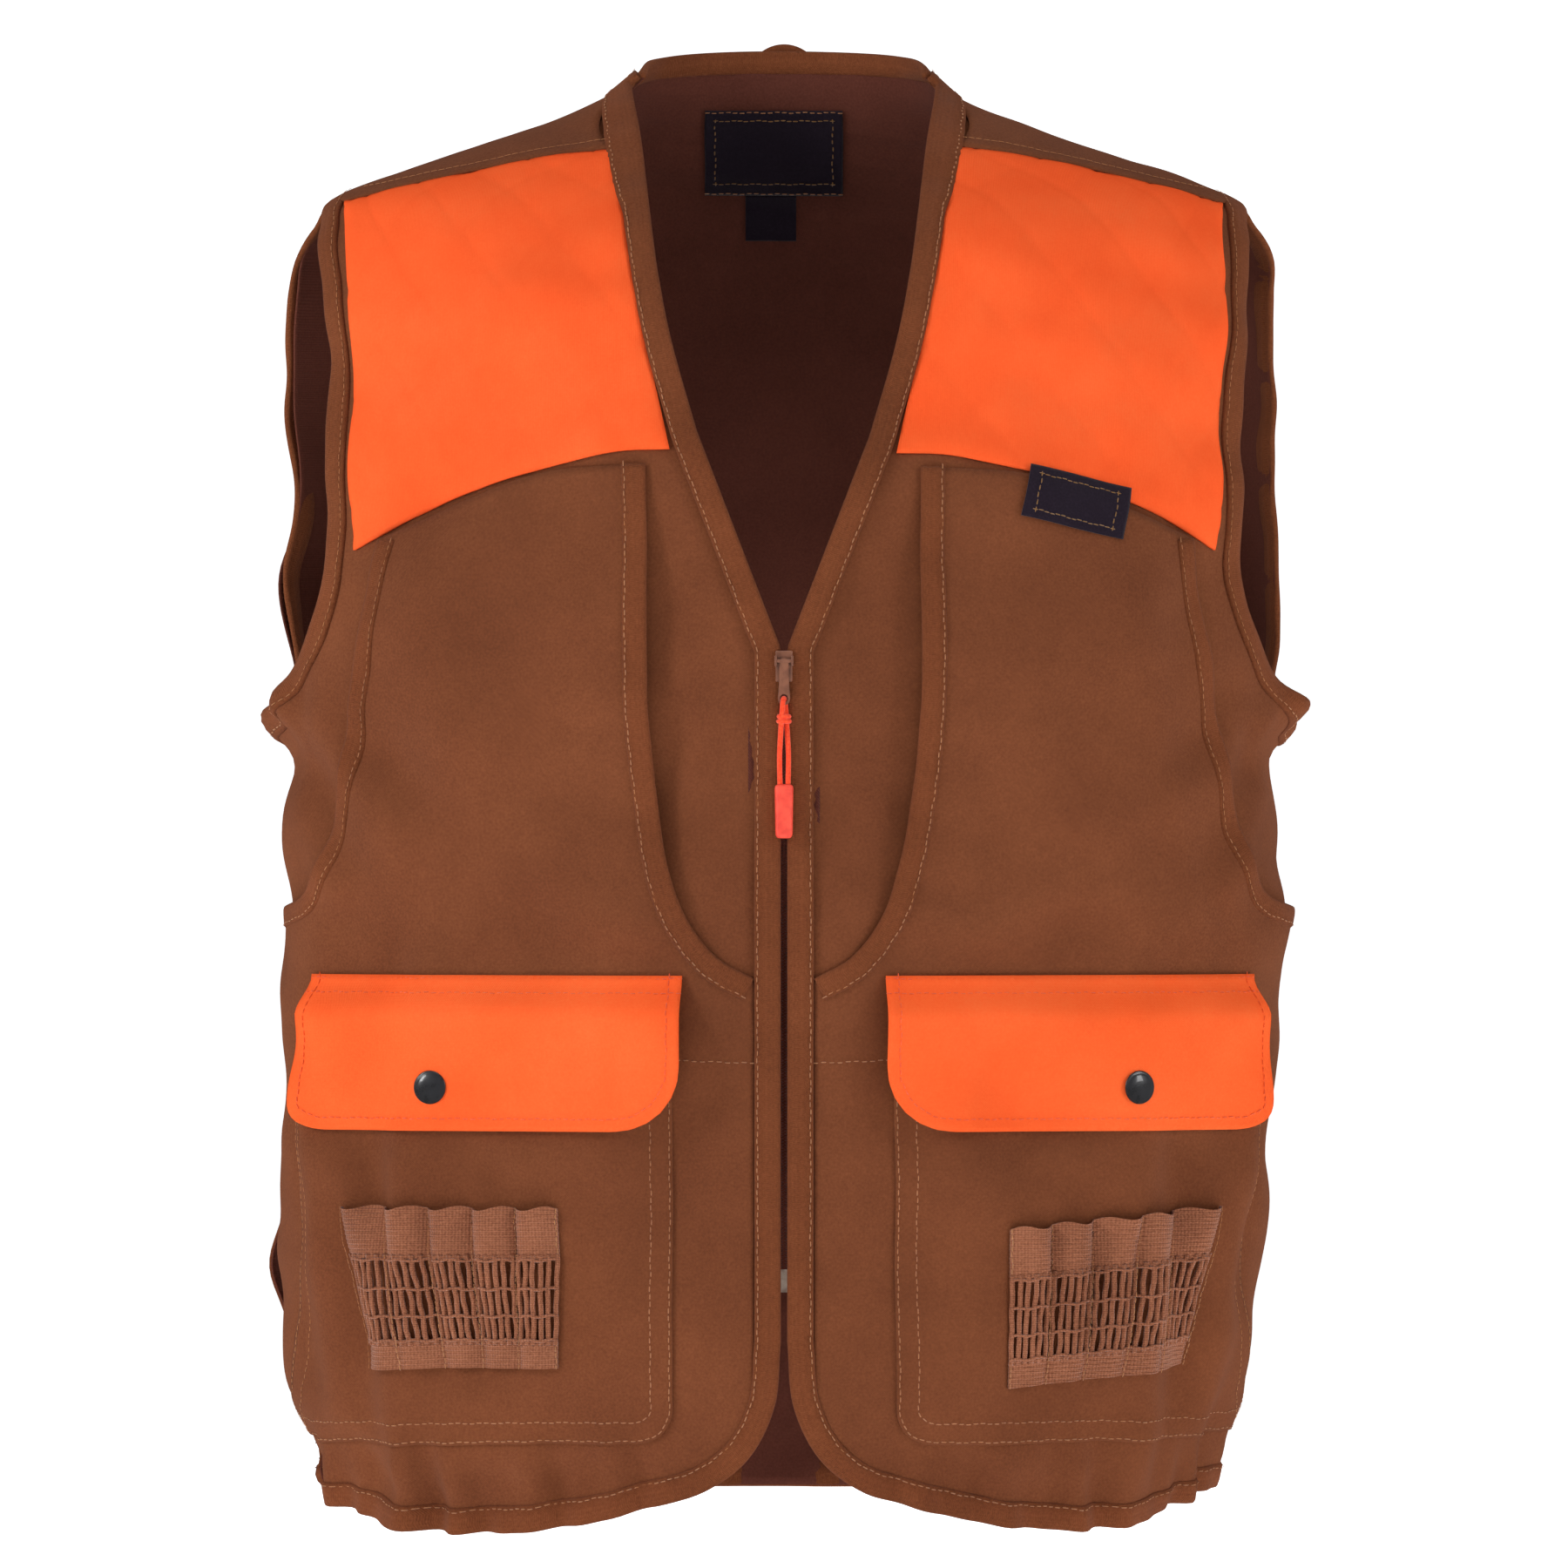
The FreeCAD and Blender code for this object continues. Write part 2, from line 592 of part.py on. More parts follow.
def make_shell_loops():
    """A band of elastic loops sewn to the cargo pocket, each open at the top and the bottom."""
    body = common("loops_body", L.loops, box_block(
        "loops_block", S.loops_in_x, S.loops_out_x, S.loops_low_z, S.loops_top_z))
    pitch = (S.loops_out_x - S.loops_in_x - S.loop_seam) / S.loop_count
    hollows = []
    for index in range(int(S.loop_count.value)):
        start = S.loops_in_x + S.loop_seam + pitch * index
        hollows.append(box_block("loop_hollow_%d" % (index + 1), start, start + pitch - S.loop_seam,
                                 S.loops_low_z - S.cloth, S.loops_top_z + S.cloth))
    hollow = common("loops_hollow", L.loop_hollow, fuse("loop_hollows", *hollows))
    both_sides(cut("shell_loops", body, hollow), "shell_loops")


def on_form(level_section, side_x, offset):
    """Point and outward direction of a layer at side_x, with the form's section at that level."""
    half_width = getattr(S, level_section + "_half_width").value + offset
    half_depth = getattr(S, level_section + "_half_depth").value + offset
    y = -half_depth * math.sqrt(1 - (side_x / half_width) ** 2)
    outward = Vector(side_x / half_width ** 2, y / half_depth ** 2, 0)
    return Vector(side_x, y, 0), outward.normalize()


def make_snap():
    """Snap fastener: cap and socket on the flap, stud on the pocket."""
    pocket_out = (S.cloth + S.ease) * 2 + S.pocket_depth + S.cloth
    gap = S.flap_gap.value
    cap_foot = gap + S.cloth.value + S.snap_sheet.value / 2
    place, outward = on_form("waist", S.snap_x.value, pocket_out.value)

    def turned(name, kind, height, **sizes):
        """A round part on the snap's axis, its foot at that height above the pocket cloth."""
        centre = place + outward * height
        centre.z = S.snap_z.value
        part = new(kind, name, **sizes)
        part.Placement = Placement(centre, Rotation(Vector(0, 0, 1), outward))
        return part

    rim = turned("snap_cap_rim", "Part::Cylinder", cap_foot, Radius=S.snap_cap, Height=S.cloth / 2)
    crown = turned("snap_cap_crown", "Part::Cone", cap_foot + S.cloth.value / 2,
                   Radius1=S.snap_cap, Radius2=S.snap_cap * 0.7, Height=S.snap_cap_height - S.cloth / 2)
    both_sides(fuse("snap_cap", rim, crown), "snap_cap")
    ring = turned("snap_socket_ring", "Part::Cylinder", gap / 3, Radius=S.snap_socket,
                  Height=S.flap_gap - 1.1)
    bore = turned("snap_socket_bore", "Part::Cylinder", 0, Radius=S.snap_bore, Height=S.flap_gap)
    both_sides(cut("snap_socket", ring, bore), "snap_socket")
    base = turned("snap_stud_base", "Part::Cylinder", 0.2, Radius=S.snap_base, Height=S.snap_sheet / 2)
    head = turned("snap_stud_head", "Part::Cylinder", 0.2, Radius=S.snap_stud, Height=S.flap_gap * 0.6)
    both_sides(fuse("snap_stud", base, head), "snap_stud")


def back_outline():
    """The back: hem, sides and the raised neck edge; its armholes are cut from the side."""
    return sketch_outline(
        "back_outline",
        (S.outside, S.hem_side_z),
        (S.outside, S.above),
        (S.neck_x + S.cloth, S.above),
        (S.neck_x + S.cloth, S.neck_z),
        ("arc", 0, S.neck_back_z, -S.neck_x - S.cloth, S.neck_z),
        (-S.neck_x - S.cloth, S.above),
        (-S.outside, S.above),
        (-S.outside, S.hem_side_z),
        ("arc", 0, S.hem_back_z, S.outside, S.hem_side_z))


def side_block(name, profile):
    """A profile in the side plane run outwards from the middle on the wearer's left."""
    solid = doc.addObject("Part::Extrusion", name)
    solid.Base = profile
    solid.DirMode = "Custom"
    solid.Dir = Vector(1, 0, 0)
    solid.Solid = True
    return bind(solid, LengthFwd=S.outside)


def mirrored(name, obj):
    mirror = doc.addObject("Part::Mirroring", name)
    mirror.Source = obj
    mirror.Normal = Vector(1, 0, 0)
    return mirror


def make_back():
    """Back panel with its hem, neck and armhole bindings."""
    outline = back_outline()
    armhole = sketch_outline(
        "back_armhole_outline",
        (S.seam_plane - S.binding * 3, S.armhole_low_z),
        (S.seam_plane, S.armhole_low_z),
        ("arc", S.seam_plane + S.armhole_back, S.armhole_in_z + S.binding * 3,
         S.seam_plane, S.armhole_top_z),
        (S.seam_plane - S.binding * 3, S.armhole_top_z),
        plane=SIDE_PLANE)
    opening = side_block("back_armhole_opening", armhole)
    skin = common("back_skin", L.lining, block("back_block", outline, front=False))
    openings = fuse("back_armholes", opening, mirrored("back_armhole_right", opening))
    finish(cut("back_panel", skin, openings), "back_panel")
    edge = band("back_edge_band", outline, S.binding, front=False)
    strip = common("back_edge_strip", L.panel, edge)
    half = S.neck_x + S.binding * 2
    hem = box_block("back_hem_zone", -S.outside, S.outside, -S.binding, S.bag_low_z, front=False)
    finish(common("back_hem_binding", strip, hem), "back_hem_binding")
    neck = box_block("back_neck_zone", -half, half, S.origin_level - S.binding, S.above, front=False)
    finish(common("neck_binding", strip, neck), "neck_binding")
    grown = doc.addObject("Part::Offset2D", "back_armhole_grown")
    grown.Source = armhole
    bind(grown, Value=S.binding)
    ring = cut("back_armhole_ring", side_block("back_armhole_outer", grown), opening)
    back_half = box_block("back_half", 0, S.outside, 0, S.above, front=False)
    rim = common("back_armhole_rim", ring, back_half)
    both_sides(common("armhole_binding_back", L.panel, rim), "armhole_binding_back")


def make_game_bag():
    """Game bag over the lower back: open at the top, and at both sides towards the fronts."""
    def part(name, low, high):
        skin = common(name + "_block", L.bag, box_block(
            name + "_zone", -S.outside, S.outside, low, high, front=False))
        hollow = common(name + "_hollow", L.bag_hollow, box_block(
            name + "_hollow_zone", -S.outside, S.outside, S.bag_low_z + S.cloth, S.bag_top_z + S.cloth,
            front=False))
        return cut(name, skin, hollow)

    finish(part("game_bag", S.bag_low_z, S.bag_band_z - S.ease), "game_bag")
    finish(part("game_bag_band", S.bag_band_z, S.bag_top_z), "game_bag_band")
    rim = box_block("game_bag_binding_zone", -S.outside, S.outside,
                    S.bag_top_z - S.pocket_binding, S.bag_top_z, front=False)
    finish(common("game_bag_binding", L.bag_rim, rim), "game_bag_binding")


def make_labels():
    """Blank woven labels: neck label with a size tab inside the back, and one at the chest."""
    def label(name, x0, x1, z0, z1):
        finish(common(name, L.label, box_block(name + "_zone", x0, x1, z0, z1, front=False)), name)

    label("neck_label", S.neck_label_in_x, S.neck_label_out_x, S.neck_label_low_z, S.neck_label_top_z)
    tab_top = S.neck_label_low_z - S.ease * 2
    label("size_tab", S.size_tab_in_x, S.size_tab_out_x, tab_top - S.size_tab_height, tab_top)
    x, z, low = S.chest_label_x, S.chest_label_z, S.chest_label_height
    lean = low * S.chest_label_tilt / S.chest_label_width
    outline = sketch_outline(
        "chest_label_outline",
        (x, z),
        (x + S.chest_label_width, z - S.chest_label_tilt),
        (x + S.chest_label_width - lean, z - S.chest_label_tilt - low),
        (x - lean, z - low))
    finish(common("chest_label", L.stand_trim, block("chest_label_block", outline)), "chest_label")


def plain_box(name, x0, x1, y0, y1, z0, z1):
    """A box between two corners, bound to the sheet."""
    x0, x1, y0, y1, z0, z1 = (as_size(value) for value in (x0, x1, y0, y1, z0, z1))
    return new("Part::Box", name, Length=x1 - x0, Width=y1 - y0, Height=z1 - z0,
               base_x=x0, base_y=y0, base_z=z0)


def make_zipper():
    """Two tapes with their rows of elements, the retainer box and pin at the bottom, the slider."""
    front = -S.waist_half_depth
    tape_back = front + S.ease * 12
    chain_front = front - S.chain_depth / 2
    chain_back = front + S.chain_depth / 2
    chain_out = S.chain_in + S.chain_width
    bottom = S.zip_bottom - S.origin_level
    top = S.zip_top - S.origin_level
    foot = bottom + S.stop_height
    tape = plain_box("zipper_tape", chain_out + S.ease, S.front_gap + S.tape_width,
                     tape_back - S.tape, tape_back, bottom, top + S.ease * 40)
    both_sides(tape, "zipper_tape", lowered=True)
    chain = plain_box("zipper_row", S.chain_in, chain_out, chain_front, chain_back, foot + S.ease, top)
    both_sides(chain, "zipper_chain", lowered=True)
    pin = plain_box("pin_box", S.chain_in, chain_out, chain_front, chain_back, bottom, foot)
    finish(pin, "insertion_pin", lowered=True)
    box = plain_box("retainer", -chain_out, -S.chain_in, chain_front, chain_back, bottom, foot)
    finish(box, "retainer_box", lowered=True)


def slider_front():
    """Where the slider's front plate starts, clear of the bindings beside the zipper."""
    return -S.waist_half_depth - (S.cloth + S.ease) * 3 - S.ease * 4


def make_slider():
    """Slider: front and back plates joined by a post above the elements, with a crown for the tab."""
    half = S.slider_width / 2
    low = S.zip_top - S.slider_drop
    high = low + S.slider_height
    face = slider_front()
    front_plate = plain_box("slider_plate_front", -half, half, face - S.slider_plate, face, low, high)
    rear = -S.waist_half_depth + S.chain_depth / 2 + S.ease * 4
    back_plate = plain_box("slider_plate_back", -half, half, rear, rear + S.slider_plate,
                           S.zip_top + S.ease * 45, high)
    post = plain_box("slider_post", -S.ease, S.chain_width - S.ease, face, rear,
                     S.zip_top + S.ease * 45, high)
    bar_y = face - S.slider_plate - S.pivot * 1.6
    bar_z = high - S.slider_height / 3
    inner = S.tab_width / 2 + S.tab_play
    outer = inner + S.cheek
    bar = turned_x("slider_bar", S.pivot, inner * 2, -inner.value, bar_y, bar_z)
    cheeks = [plain_box("slider_cheek_%d" % number, left, right, bar_y - S.pivot, face - S.slider_plate,
                        bar_z - S.pivot, bar_z + S.pivot)
              for number, (left, right) in enumerate(((-outer, -inner), (inner, outer)), start=1)]
    finish(fuse("slider", front_plate, back_plate, post, bar, *cheeks), "zipper_slider")
    return bar_y, bar_z


def make_pull(bar_y, bar_z):
    """Pull tab on the crown bar, the cord looped through its end, and the moulded grip."""
    half = S.tab_width / 2
    back = bar_y + S.tab_thick / 2
    blade = plain_box("tab_blade", -half, half, bar_y - S.tab_thick / 2, back,
                      bar_z - S.tab_length, bar_z)
    boss = turned_x("tab_boss", S.tab_eye + S.tab_wall, half * 2, -half.value, bar_y, bar_z)
    bore = turned_x("tab_bore", S.tab_eye, half * 4, -2 * half.value, bar_y, bar_z)
    hole_z = bar_z - S.tab_length + S.tab_hole + S.cloth
    hole = new("Part::Cylinder", "tab_cord_hole", Radius=S.tab_hole, Height=S.tab_thick * 4,
               base_y=bar_y + S.tab_thick * 2, base_z=hole_z)
    hole.Placement = Placement(Vector(), Rotation(Vector(1, 0, 0), 90))
    tab = cut("pull_tab", cut("pull_tab_blank", fuse("tab_body", blade, boss), bore), hole)
    finish(tab, "pull_tab")
    return hole_z


def turned_x(name, radius, length, start_x, y, z):
    """A cylinder along X."""
    part = new("Part::Cylinder", name, Radius=radius, Height=length, base_y=y, base_z=z)
    part.Placement = Placement(Vector(start_x, 0, 0), Rotation(Vector(0, 1, 0), 90))
    return part


def rounded_path(points, share=0.45):
    """Straight runs between hand-chosen points, joined by arcs as large as the runs allow."""
    edges, last, radii = [], points[0], []
    for before, corner, after in zip(points, points[1:], points[2:]):
        back, ahead = (before - corner), (after - corner)
        run = min(back.Length, ahead.Length)
        turn = math.pi - back.getAngle(ahead)
        reach = share * run
        radii.append(reach / math.tan(turn / 2))
        start = corner + back.normalize() * reach
        end = corner + ahead.normalize() * reach
        bisector = (start + end) * 0.5 - corner
        radius = radii[-1]
        middle = corner + bisector.normalize() * (radius / math.cos(turn / 2) - radius)
        edges.append(Part.LineSegment(last, start).toShape())
        edges.append(Part.Arc(start, middle, end).toShape())
        last = end
    edges.append(Part.LineSegment(last, points[-1]).toShape())
    return Part.Wire(edges), radii


def make_pull_cord(bar_y, hole_z):
    """The cord: up from the grip, over the tab's end through its hole and down to the grip again."""
    front = bar_y.value - S.tab_thick.value / 2 - S.cord.value / 2 - 0.5
    behind = bar_y.value + S.tab_thick.value / 2 + S.cord.value / 2 + 0.5
    hole = hole_z.value
    low = S.grip_top_z.value - S.origin_level.value
    top = hole - S.origin_level.value
    spread = S.cord_spread.value
    mid = bar_y.value
    route = [
        Vector(-spread, mid, low),
        Vector(-spread - 0.4, mid - 0.3, low + 12),
        Vector(-spread + 0.1, mid - 0.6, low + 21),
        Vector(-spread + 0.9, front, top - 7),
        Vector(-0.5, front, top - 1.2),
        Vector(0.0, mid, top + 0.4),
        Vector(0.5, behind, top - 1.2),
        Vector(spread - 0.9, behind, top - 7),
        Vector(spread - 0.1, mid + 0.6, low + 21),
        Vector(spread + 0.4, mid + 0.3, low + 12),
        Vector(spread, mid, low),
    ]
    wire, radii = rounded_path(route)
    print("pull cord radii", [round(radius, 1) for radius in radii], "length", round(wire.Length, 1))
    section = Part.Wire(Part.makeCircle(S.cord.value / 2, route[0], route[1] - route[0]))
    tube = wire.makePipeShell([section], True, False)
    expected = math.pi * (S.cord.value / 2) ** 2 * wire.Length
    print("pull cord volume", round(tube.Volume, 1), "expected", round(expected, 1))
    cord = doc.addObject("Part::Feature", "pull_cord")
    cord.Shape = tube
    finish(cord, "pull_cord", lowered=True)
    half_thick = S.grip_thick / 2
    top_z = S.grip_top_z - S.ease - S.origin_level
    grip = plain_box("grip_block", -S.grip_width / 2, S.grip_width / 2, bar_y - half_thick,
                     bar_y + half_thick, top_z - S.grip_height, top_z)
    smooth = doc.addObject("Part::Fillet", "grip_rounded")
    smooth.Base = grip
    doc.recompute()
    radius = S.grip_thick.value * 0.3
    smooth.Edges = [(index + 1, radius, radius) for index in range(len(grip.Shape.Edges))]
    finish(smooth, "pull_grip", lowered=True)


def make_hanger_loop():
    """Hanger loop behind the neck: an upright half ring."""
    ring = new("Part::Torus", "hanger_ring", Radius1=S.hanger_radius, Radius2=S.hanger_tape,
               base_z=S.hanger_level - S.origin_level)
    ring.Angle3 = 180
    y = S.neck_shift.value + S.neck_half_depth.value + (S.cloth.value + S.ease.value) * 2
    ring.Placement = Placement(Vector(0, y + S.hanger_tape.value + 2, 0), Rotation(Vector(1, 0, 0), 90))
    finish(ring, "hanger_loop", lowered=True)


make_front_cloth()
make_shoulder()
make_front_panel()
make_cargo_pocket()
make_shell_loops()
make_snap()
make_back()
make_game_bag()
make_labels()
make_zipper()
crown_y, crown_z = make_slider()
cord_hole = make_pull(crown_y, crown_z)
make_pull_cord(crown_y, cord_hole)
make_hanger_loop()

doc.recompute()
failed = [item.Label for item in doc.Objects if {"Invalid", "Error"} & set(item.State)]
if failed:
    raise RuntimeError("failed: " + ", ".join(failed))
os.makedirs("parts", exist_ok=True)
for piece in finished:
    if piece.Shape.isNull() or not piece.Shape.isValid() or not piece.Shape.Solids:
        raise RuntimeError("%s has no valid solid" % piece.Label)
    piece.Shape.exportStep("parts/%s.step" % piece.Label)
    print("%-28s solids %d volume %10.1f" % (piece.Label, len(piece.Shape.Solids), piece.Shape.Volume))
print(len(finished), "pieces")
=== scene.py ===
import math

import bmesh
import bpy
import numpy as np
from mathutils import Matrix, Vector


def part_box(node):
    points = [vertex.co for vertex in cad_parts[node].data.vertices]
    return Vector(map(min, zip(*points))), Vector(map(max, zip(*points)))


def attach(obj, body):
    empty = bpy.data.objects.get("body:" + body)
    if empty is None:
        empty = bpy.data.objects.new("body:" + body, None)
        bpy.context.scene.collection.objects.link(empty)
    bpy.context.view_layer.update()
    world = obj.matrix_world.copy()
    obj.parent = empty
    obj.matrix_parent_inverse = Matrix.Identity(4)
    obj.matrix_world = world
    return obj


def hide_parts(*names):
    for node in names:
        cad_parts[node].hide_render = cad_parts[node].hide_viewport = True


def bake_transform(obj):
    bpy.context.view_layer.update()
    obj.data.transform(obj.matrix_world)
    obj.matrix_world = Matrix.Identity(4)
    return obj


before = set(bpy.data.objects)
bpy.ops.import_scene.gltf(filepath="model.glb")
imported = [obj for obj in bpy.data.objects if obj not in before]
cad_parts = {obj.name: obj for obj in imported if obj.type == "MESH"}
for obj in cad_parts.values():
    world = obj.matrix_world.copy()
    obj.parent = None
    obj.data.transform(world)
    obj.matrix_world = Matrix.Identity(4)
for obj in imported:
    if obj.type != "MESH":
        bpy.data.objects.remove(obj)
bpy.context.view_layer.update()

# A blaze orange and brown hunting vest, worn by nobody, in metres: +Z up, front towards -Y, +X the
# wearer's left. Heights in the tables below are measured up from the lowest point of the hem, in
# millimetres, like the model's own sheet; HEM puts them in the frame, whose origin is at the neck.

MM = 0.001
HEM = -0.700
SIDES = ((1, "left"), (-1, "right"))

# The wearer's form: level, half-width, half-depth and how far back its centre is, in millimetres.
FORM = np.array((
    (-14, 206, 126, 0), (17, 214, 131, 0), (60, 226, 136, 0), (116, 236, 139, 0), (200, 238, 139, 0),
    (272, 238, 139, 0), (325, 238, 139, 0), (425, 240, 139, 0), (480, 238, 134, 0), (550, 239, 120, 3),
    (600, 236, 103, 8), (630, 230, 90, 12), (643, 220, 80, 15), (653, 197, 72, 18), (663, 165, 65, 21),
    (678, 119, 56, 25), (693, 85, 51, 29), (706, 70, 48, 33), (724, 62, 46, 38), (750, 57, 45, 42)), float)
SEAM_Y = 20.0  # the side seams' distance behind the middle of the body
HEM_SIDE, ARMHOLE_LOW, ARMHOLE_TOP, NECK_SIDE = 20, 389, 645, 704  # levels along the side seams
BAG_SEAM = 298  # level where the bag's mouth meets the side seam
EDGE_X, PANEL_X, ZIP_TOP = 2.2, 14.5, 425  # front edge, front panel's edge, top of the zipper


# ------------------------------------------------------------------ the form and its folds

def hermite_table(levels, values, dense):
    """Smooth curve through the sections, read at the dense levels."""
    slopes = np.gradient(values, levels)
    at = np.clip(np.searchsorted(levels, dense) - 1, 0, len(levels) - 2)
    step = levels[at + 1] - levels[at]
    f = (dense - levels[at]) / step
    return ((2 * f ** 3 - 3 * f ** 2 + 1) * values[at] + (f ** 3 - 2 * f ** 2 + f) * step * slopes[at]
            + (3 * f ** 2 - 2 * f ** 3) * values[at + 1] + (f ** 3 - f ** 2) * step * slopes[at + 1])


DENSE = np.linspace(FORM[0, 0], FORM[-1, 0], 1500)
WIDE, DEEP, BACK = (hermite_table(FORM[:, 0], FORM[:, i], DENSE) for i in (1, 2, 3))
D_WIDE, D_DEEP, D_BACK = (np.gradient(values, DENSE) for values in (WIDE, DEEP, BACK))
WALL = np.concatenate(([0], np.cumsum(np.hypot(np.diff(DENSE), np.diff(WIDE)))))
TURN = np.radians(np.linspace(-200, 200, 1601))
GIRTH = np.concatenate(([0], np.cumsum(np.hypot(238 * np.cos(TURN[1:]), 139 * np.sin(TURN[1:]))
                                       * np.diff(TURN))))
GIRTH -= np.interp(0, TURN, GIRTH)


def section(z):
    return tuple(np.interp(z, DENSE, values) for values in (WIDE, DEEP, BACK))


def cloth_xy(theta, z):
    """Distances along the cloth from the front's middle and up from the hem, in millimetres."""
    return np.interp(theta, TURN, GIRTH) * section(z)[0] / 238, np.interp(z, DENSE, WALL)


def bump(value, centre, width):
    return np.exp(-((value - centre) / width) ** 2)


def ramp(value, start, end):
    f = np.clip((value - start) / (end - start), 0, 1)
    return f * f * (3 - 2 * f)


FOLD_SEED = np.random.RandomState(7)


def wave_set(count, shortest, longest, height):
    """Random long-crested waves: direction, wavelength, phase and height."""
    lengths = FOLD_SEED.uniform(shortest, longest, count)
    angles = FOLD_SEED.uniform(0, math.pi, count)
    phases = FOLD_SEED.uniform(0, 2 * math.pi, count)
    return [(math.cos(a) * 2 * math.pi / w, math.sin(a) * 2 * math.pi / w, p, height)
            for a, w, p in zip(angles, lengths, phases)]


WAVES = wave_set(6, 150, 260, 1.3) + wave_set(8, 60, 110, 0.8) + wave_set(8, 24, 42, 0.15)


# Creases: points (x, z) with x the distance along the cloth from the front's middle, then half
# width, height, and how deep the hollow beside the ridge is; all in millimetres.
CREASES = (
    (((-176, 300), (-182, 200), (-190, 90), (-196, 0)), 11, 4.6, 0.9),
    (((176, 300), (173, 170), (178, 90), (186, 0)), 12, 5.0, -0.9),
    (((-255, 250), (-236, 160), (-226, 40)), 10, 3.2, 0.6),
    (((252, 240), (232, 140), (214, 20)), 12, 3.8, -0.7),
    (((-60, 250), (-78, 160), (-74, 60)), 13, 1.8, 0.5),
    (((78, 246), (96, 150), (92, 30)), 12, 2.3, -0.6),
    (((-150, 196), (-112, 168), (-96, 120)), 8, 1.9, 0.6),
    (((-236, 196), (-206, 150), (-196, 96)), 8, 2.4, -0.7),
    (((112, 190), (150, 176), (176, 140)), 8, 1.7, 0.6),
    (((60, 60), (110, 34), (170, 30)), 8, 1.9, 0.6),
    (((-64, 52), (-120, 34), (-186, 40)), 8, 1.9, -0.6),
    (((-226, 60), (-200, 34), (-150, 20)), 7, 2.2, 0.7),
    (((262, 410), (226, 372), (170, 336)), 11, 3.0, 0.7),
    (((-262, 404), (-222, 362), (-172, 330)), 11, 2.8, -0.7),
    (((286, 372), (240, 330), (214, 300)), 10, 2.6, 0.7),
    (((-286, 366), (-246, 326), (-220, 298)), 10, 2.6, -0.7),
    (((178, 520), (170, 430), (182, 330)), 17, 2.8, -0.6),
    (((-186, 500), (-176, 420), (-150, 330)), 17, 2.2, 0.6),
    (((-120, 330), (-100, 296), (-40, 286)), 9, 1.5, 0.6),
    (((36, 300), (96, 290), (140, 316)), 9, 1.5, -0.6),
    (((-12, 420), (-38, 380), (-58, 330)), 9, 1.3, 0.5),
    (((10, 396), (30, 362), (52, 330)), 9, 1.3, -0.5),
    (((90, 640), (108, 580), (98, 530)), 15, 1.3, 0.4),
    (((-96, 650), (-120, 580), (-112, 530)), 15, 1.3, -0.4),
)


def crease(u, z, route, width, height, hollow):
    """Height of one crease: a rounded ridge along the route that dies away at both ends."""
    best = np.full(np.shape(u), 1e9)
    signed, along = np.zeros(np.shape(u)), np.zeros(np.shape(u))
    total = len(route) - 1
    for index, ((x0, z0), (x1, z1)) in enumerate(zip(route, route[1:])):
        dx, dz = x1 - x0, z1 - z0
        f = np.clip(((u - x0) * dx + (z - z0) * dz) / (dx * dx + dz * dz), 0, 1)
        gap = np.hypot(u - x0 - f * dx, z - z0 - f * dz)
        nearer = gap < best
        best = np.where(nearer, gap, best)
        signed = np.where(nearer, gap * np.sign((u - x0) * dz - (z - z0) * dx), signed)
        along = np.where(nearer, (index + f) / total, along)
    fade = ramp(along, 0, 0.22) * (1 - ramp(along, 0.80, 1))
    if route[-1][1] <= 20:
        fade = ramp(along, 0, 0.22)
    side = 1.7 * width * np.sign(hollow)
    ridge = bump(signed, 0, width * 1.25) - abs(hollow) * bump(signed, side, width * 1.1)
    return 1.35 * height * fade * ridge


def folds(theta, z):
    """How far the cloth stands out of the form because of its folds, in millimetres."""
    u, v = cloth_xy(theta, z)
    high = sum(a * np.sin(kx * u + kz * v + phase) for kx, kz, phase, a in WAVES)
    sin, cos = np.sin(theta), np.cos(theta)
    x = section(z)[0] * sin
    front = ramp(cos, 0.0, 0.25)
    for route, width, height, hollow in CREASES:
        high = high + front * crease(u, z, route, width, height, hollow)
    gathers = (1 - ramp(z, 18, 62)) * ramp(np.abs(x), 20, 80)
    high = high + gathers * (3.0 * np.sin(u / 5.2 + 1.3 * np.sin(u / 31)) + 1.5 * np.sin(u / 3.3 + z / 21))
    turn = np.arccos(np.clip(cos, -1, 1))
    flare = ramp(turn, 1.45, 1.62) * (1 - ramp(turn, 2.0, 2.7))
    high = high + 8.0 * flare * ramp(z, 400, 470) * (1 - ramp(z, 612, 650))
    pucker = ramp(turn, 1.15, 1.45) * (1 - ramp(turn, 1.9, 2.3))
    high = high + pucker * 11 * bump(z, 394 + 5 * np.sin(turn * 14), 13) * (1 + 0.25 * np.sin(u / 5))
    high = high + pucker * 5 * bump(z, 345, 24)
    high = high - 9 * sin ** 3 * (1 - ramp(z, 20, 300))
    calm = 1 - 0.8 * ramp(z, 605, 650)
    snap = 1 - 0.92 * np.exp(-((np.abs(x) - 175) ** 2 + (z - 214) ** 2) / 24.0 ** 2) * (cos > 0)
    middle = 0.15 + 0.85 * ramp(np.abs(x), 2, 40)
    return high * calm * snap * np.where(cos > 0, middle, 1)


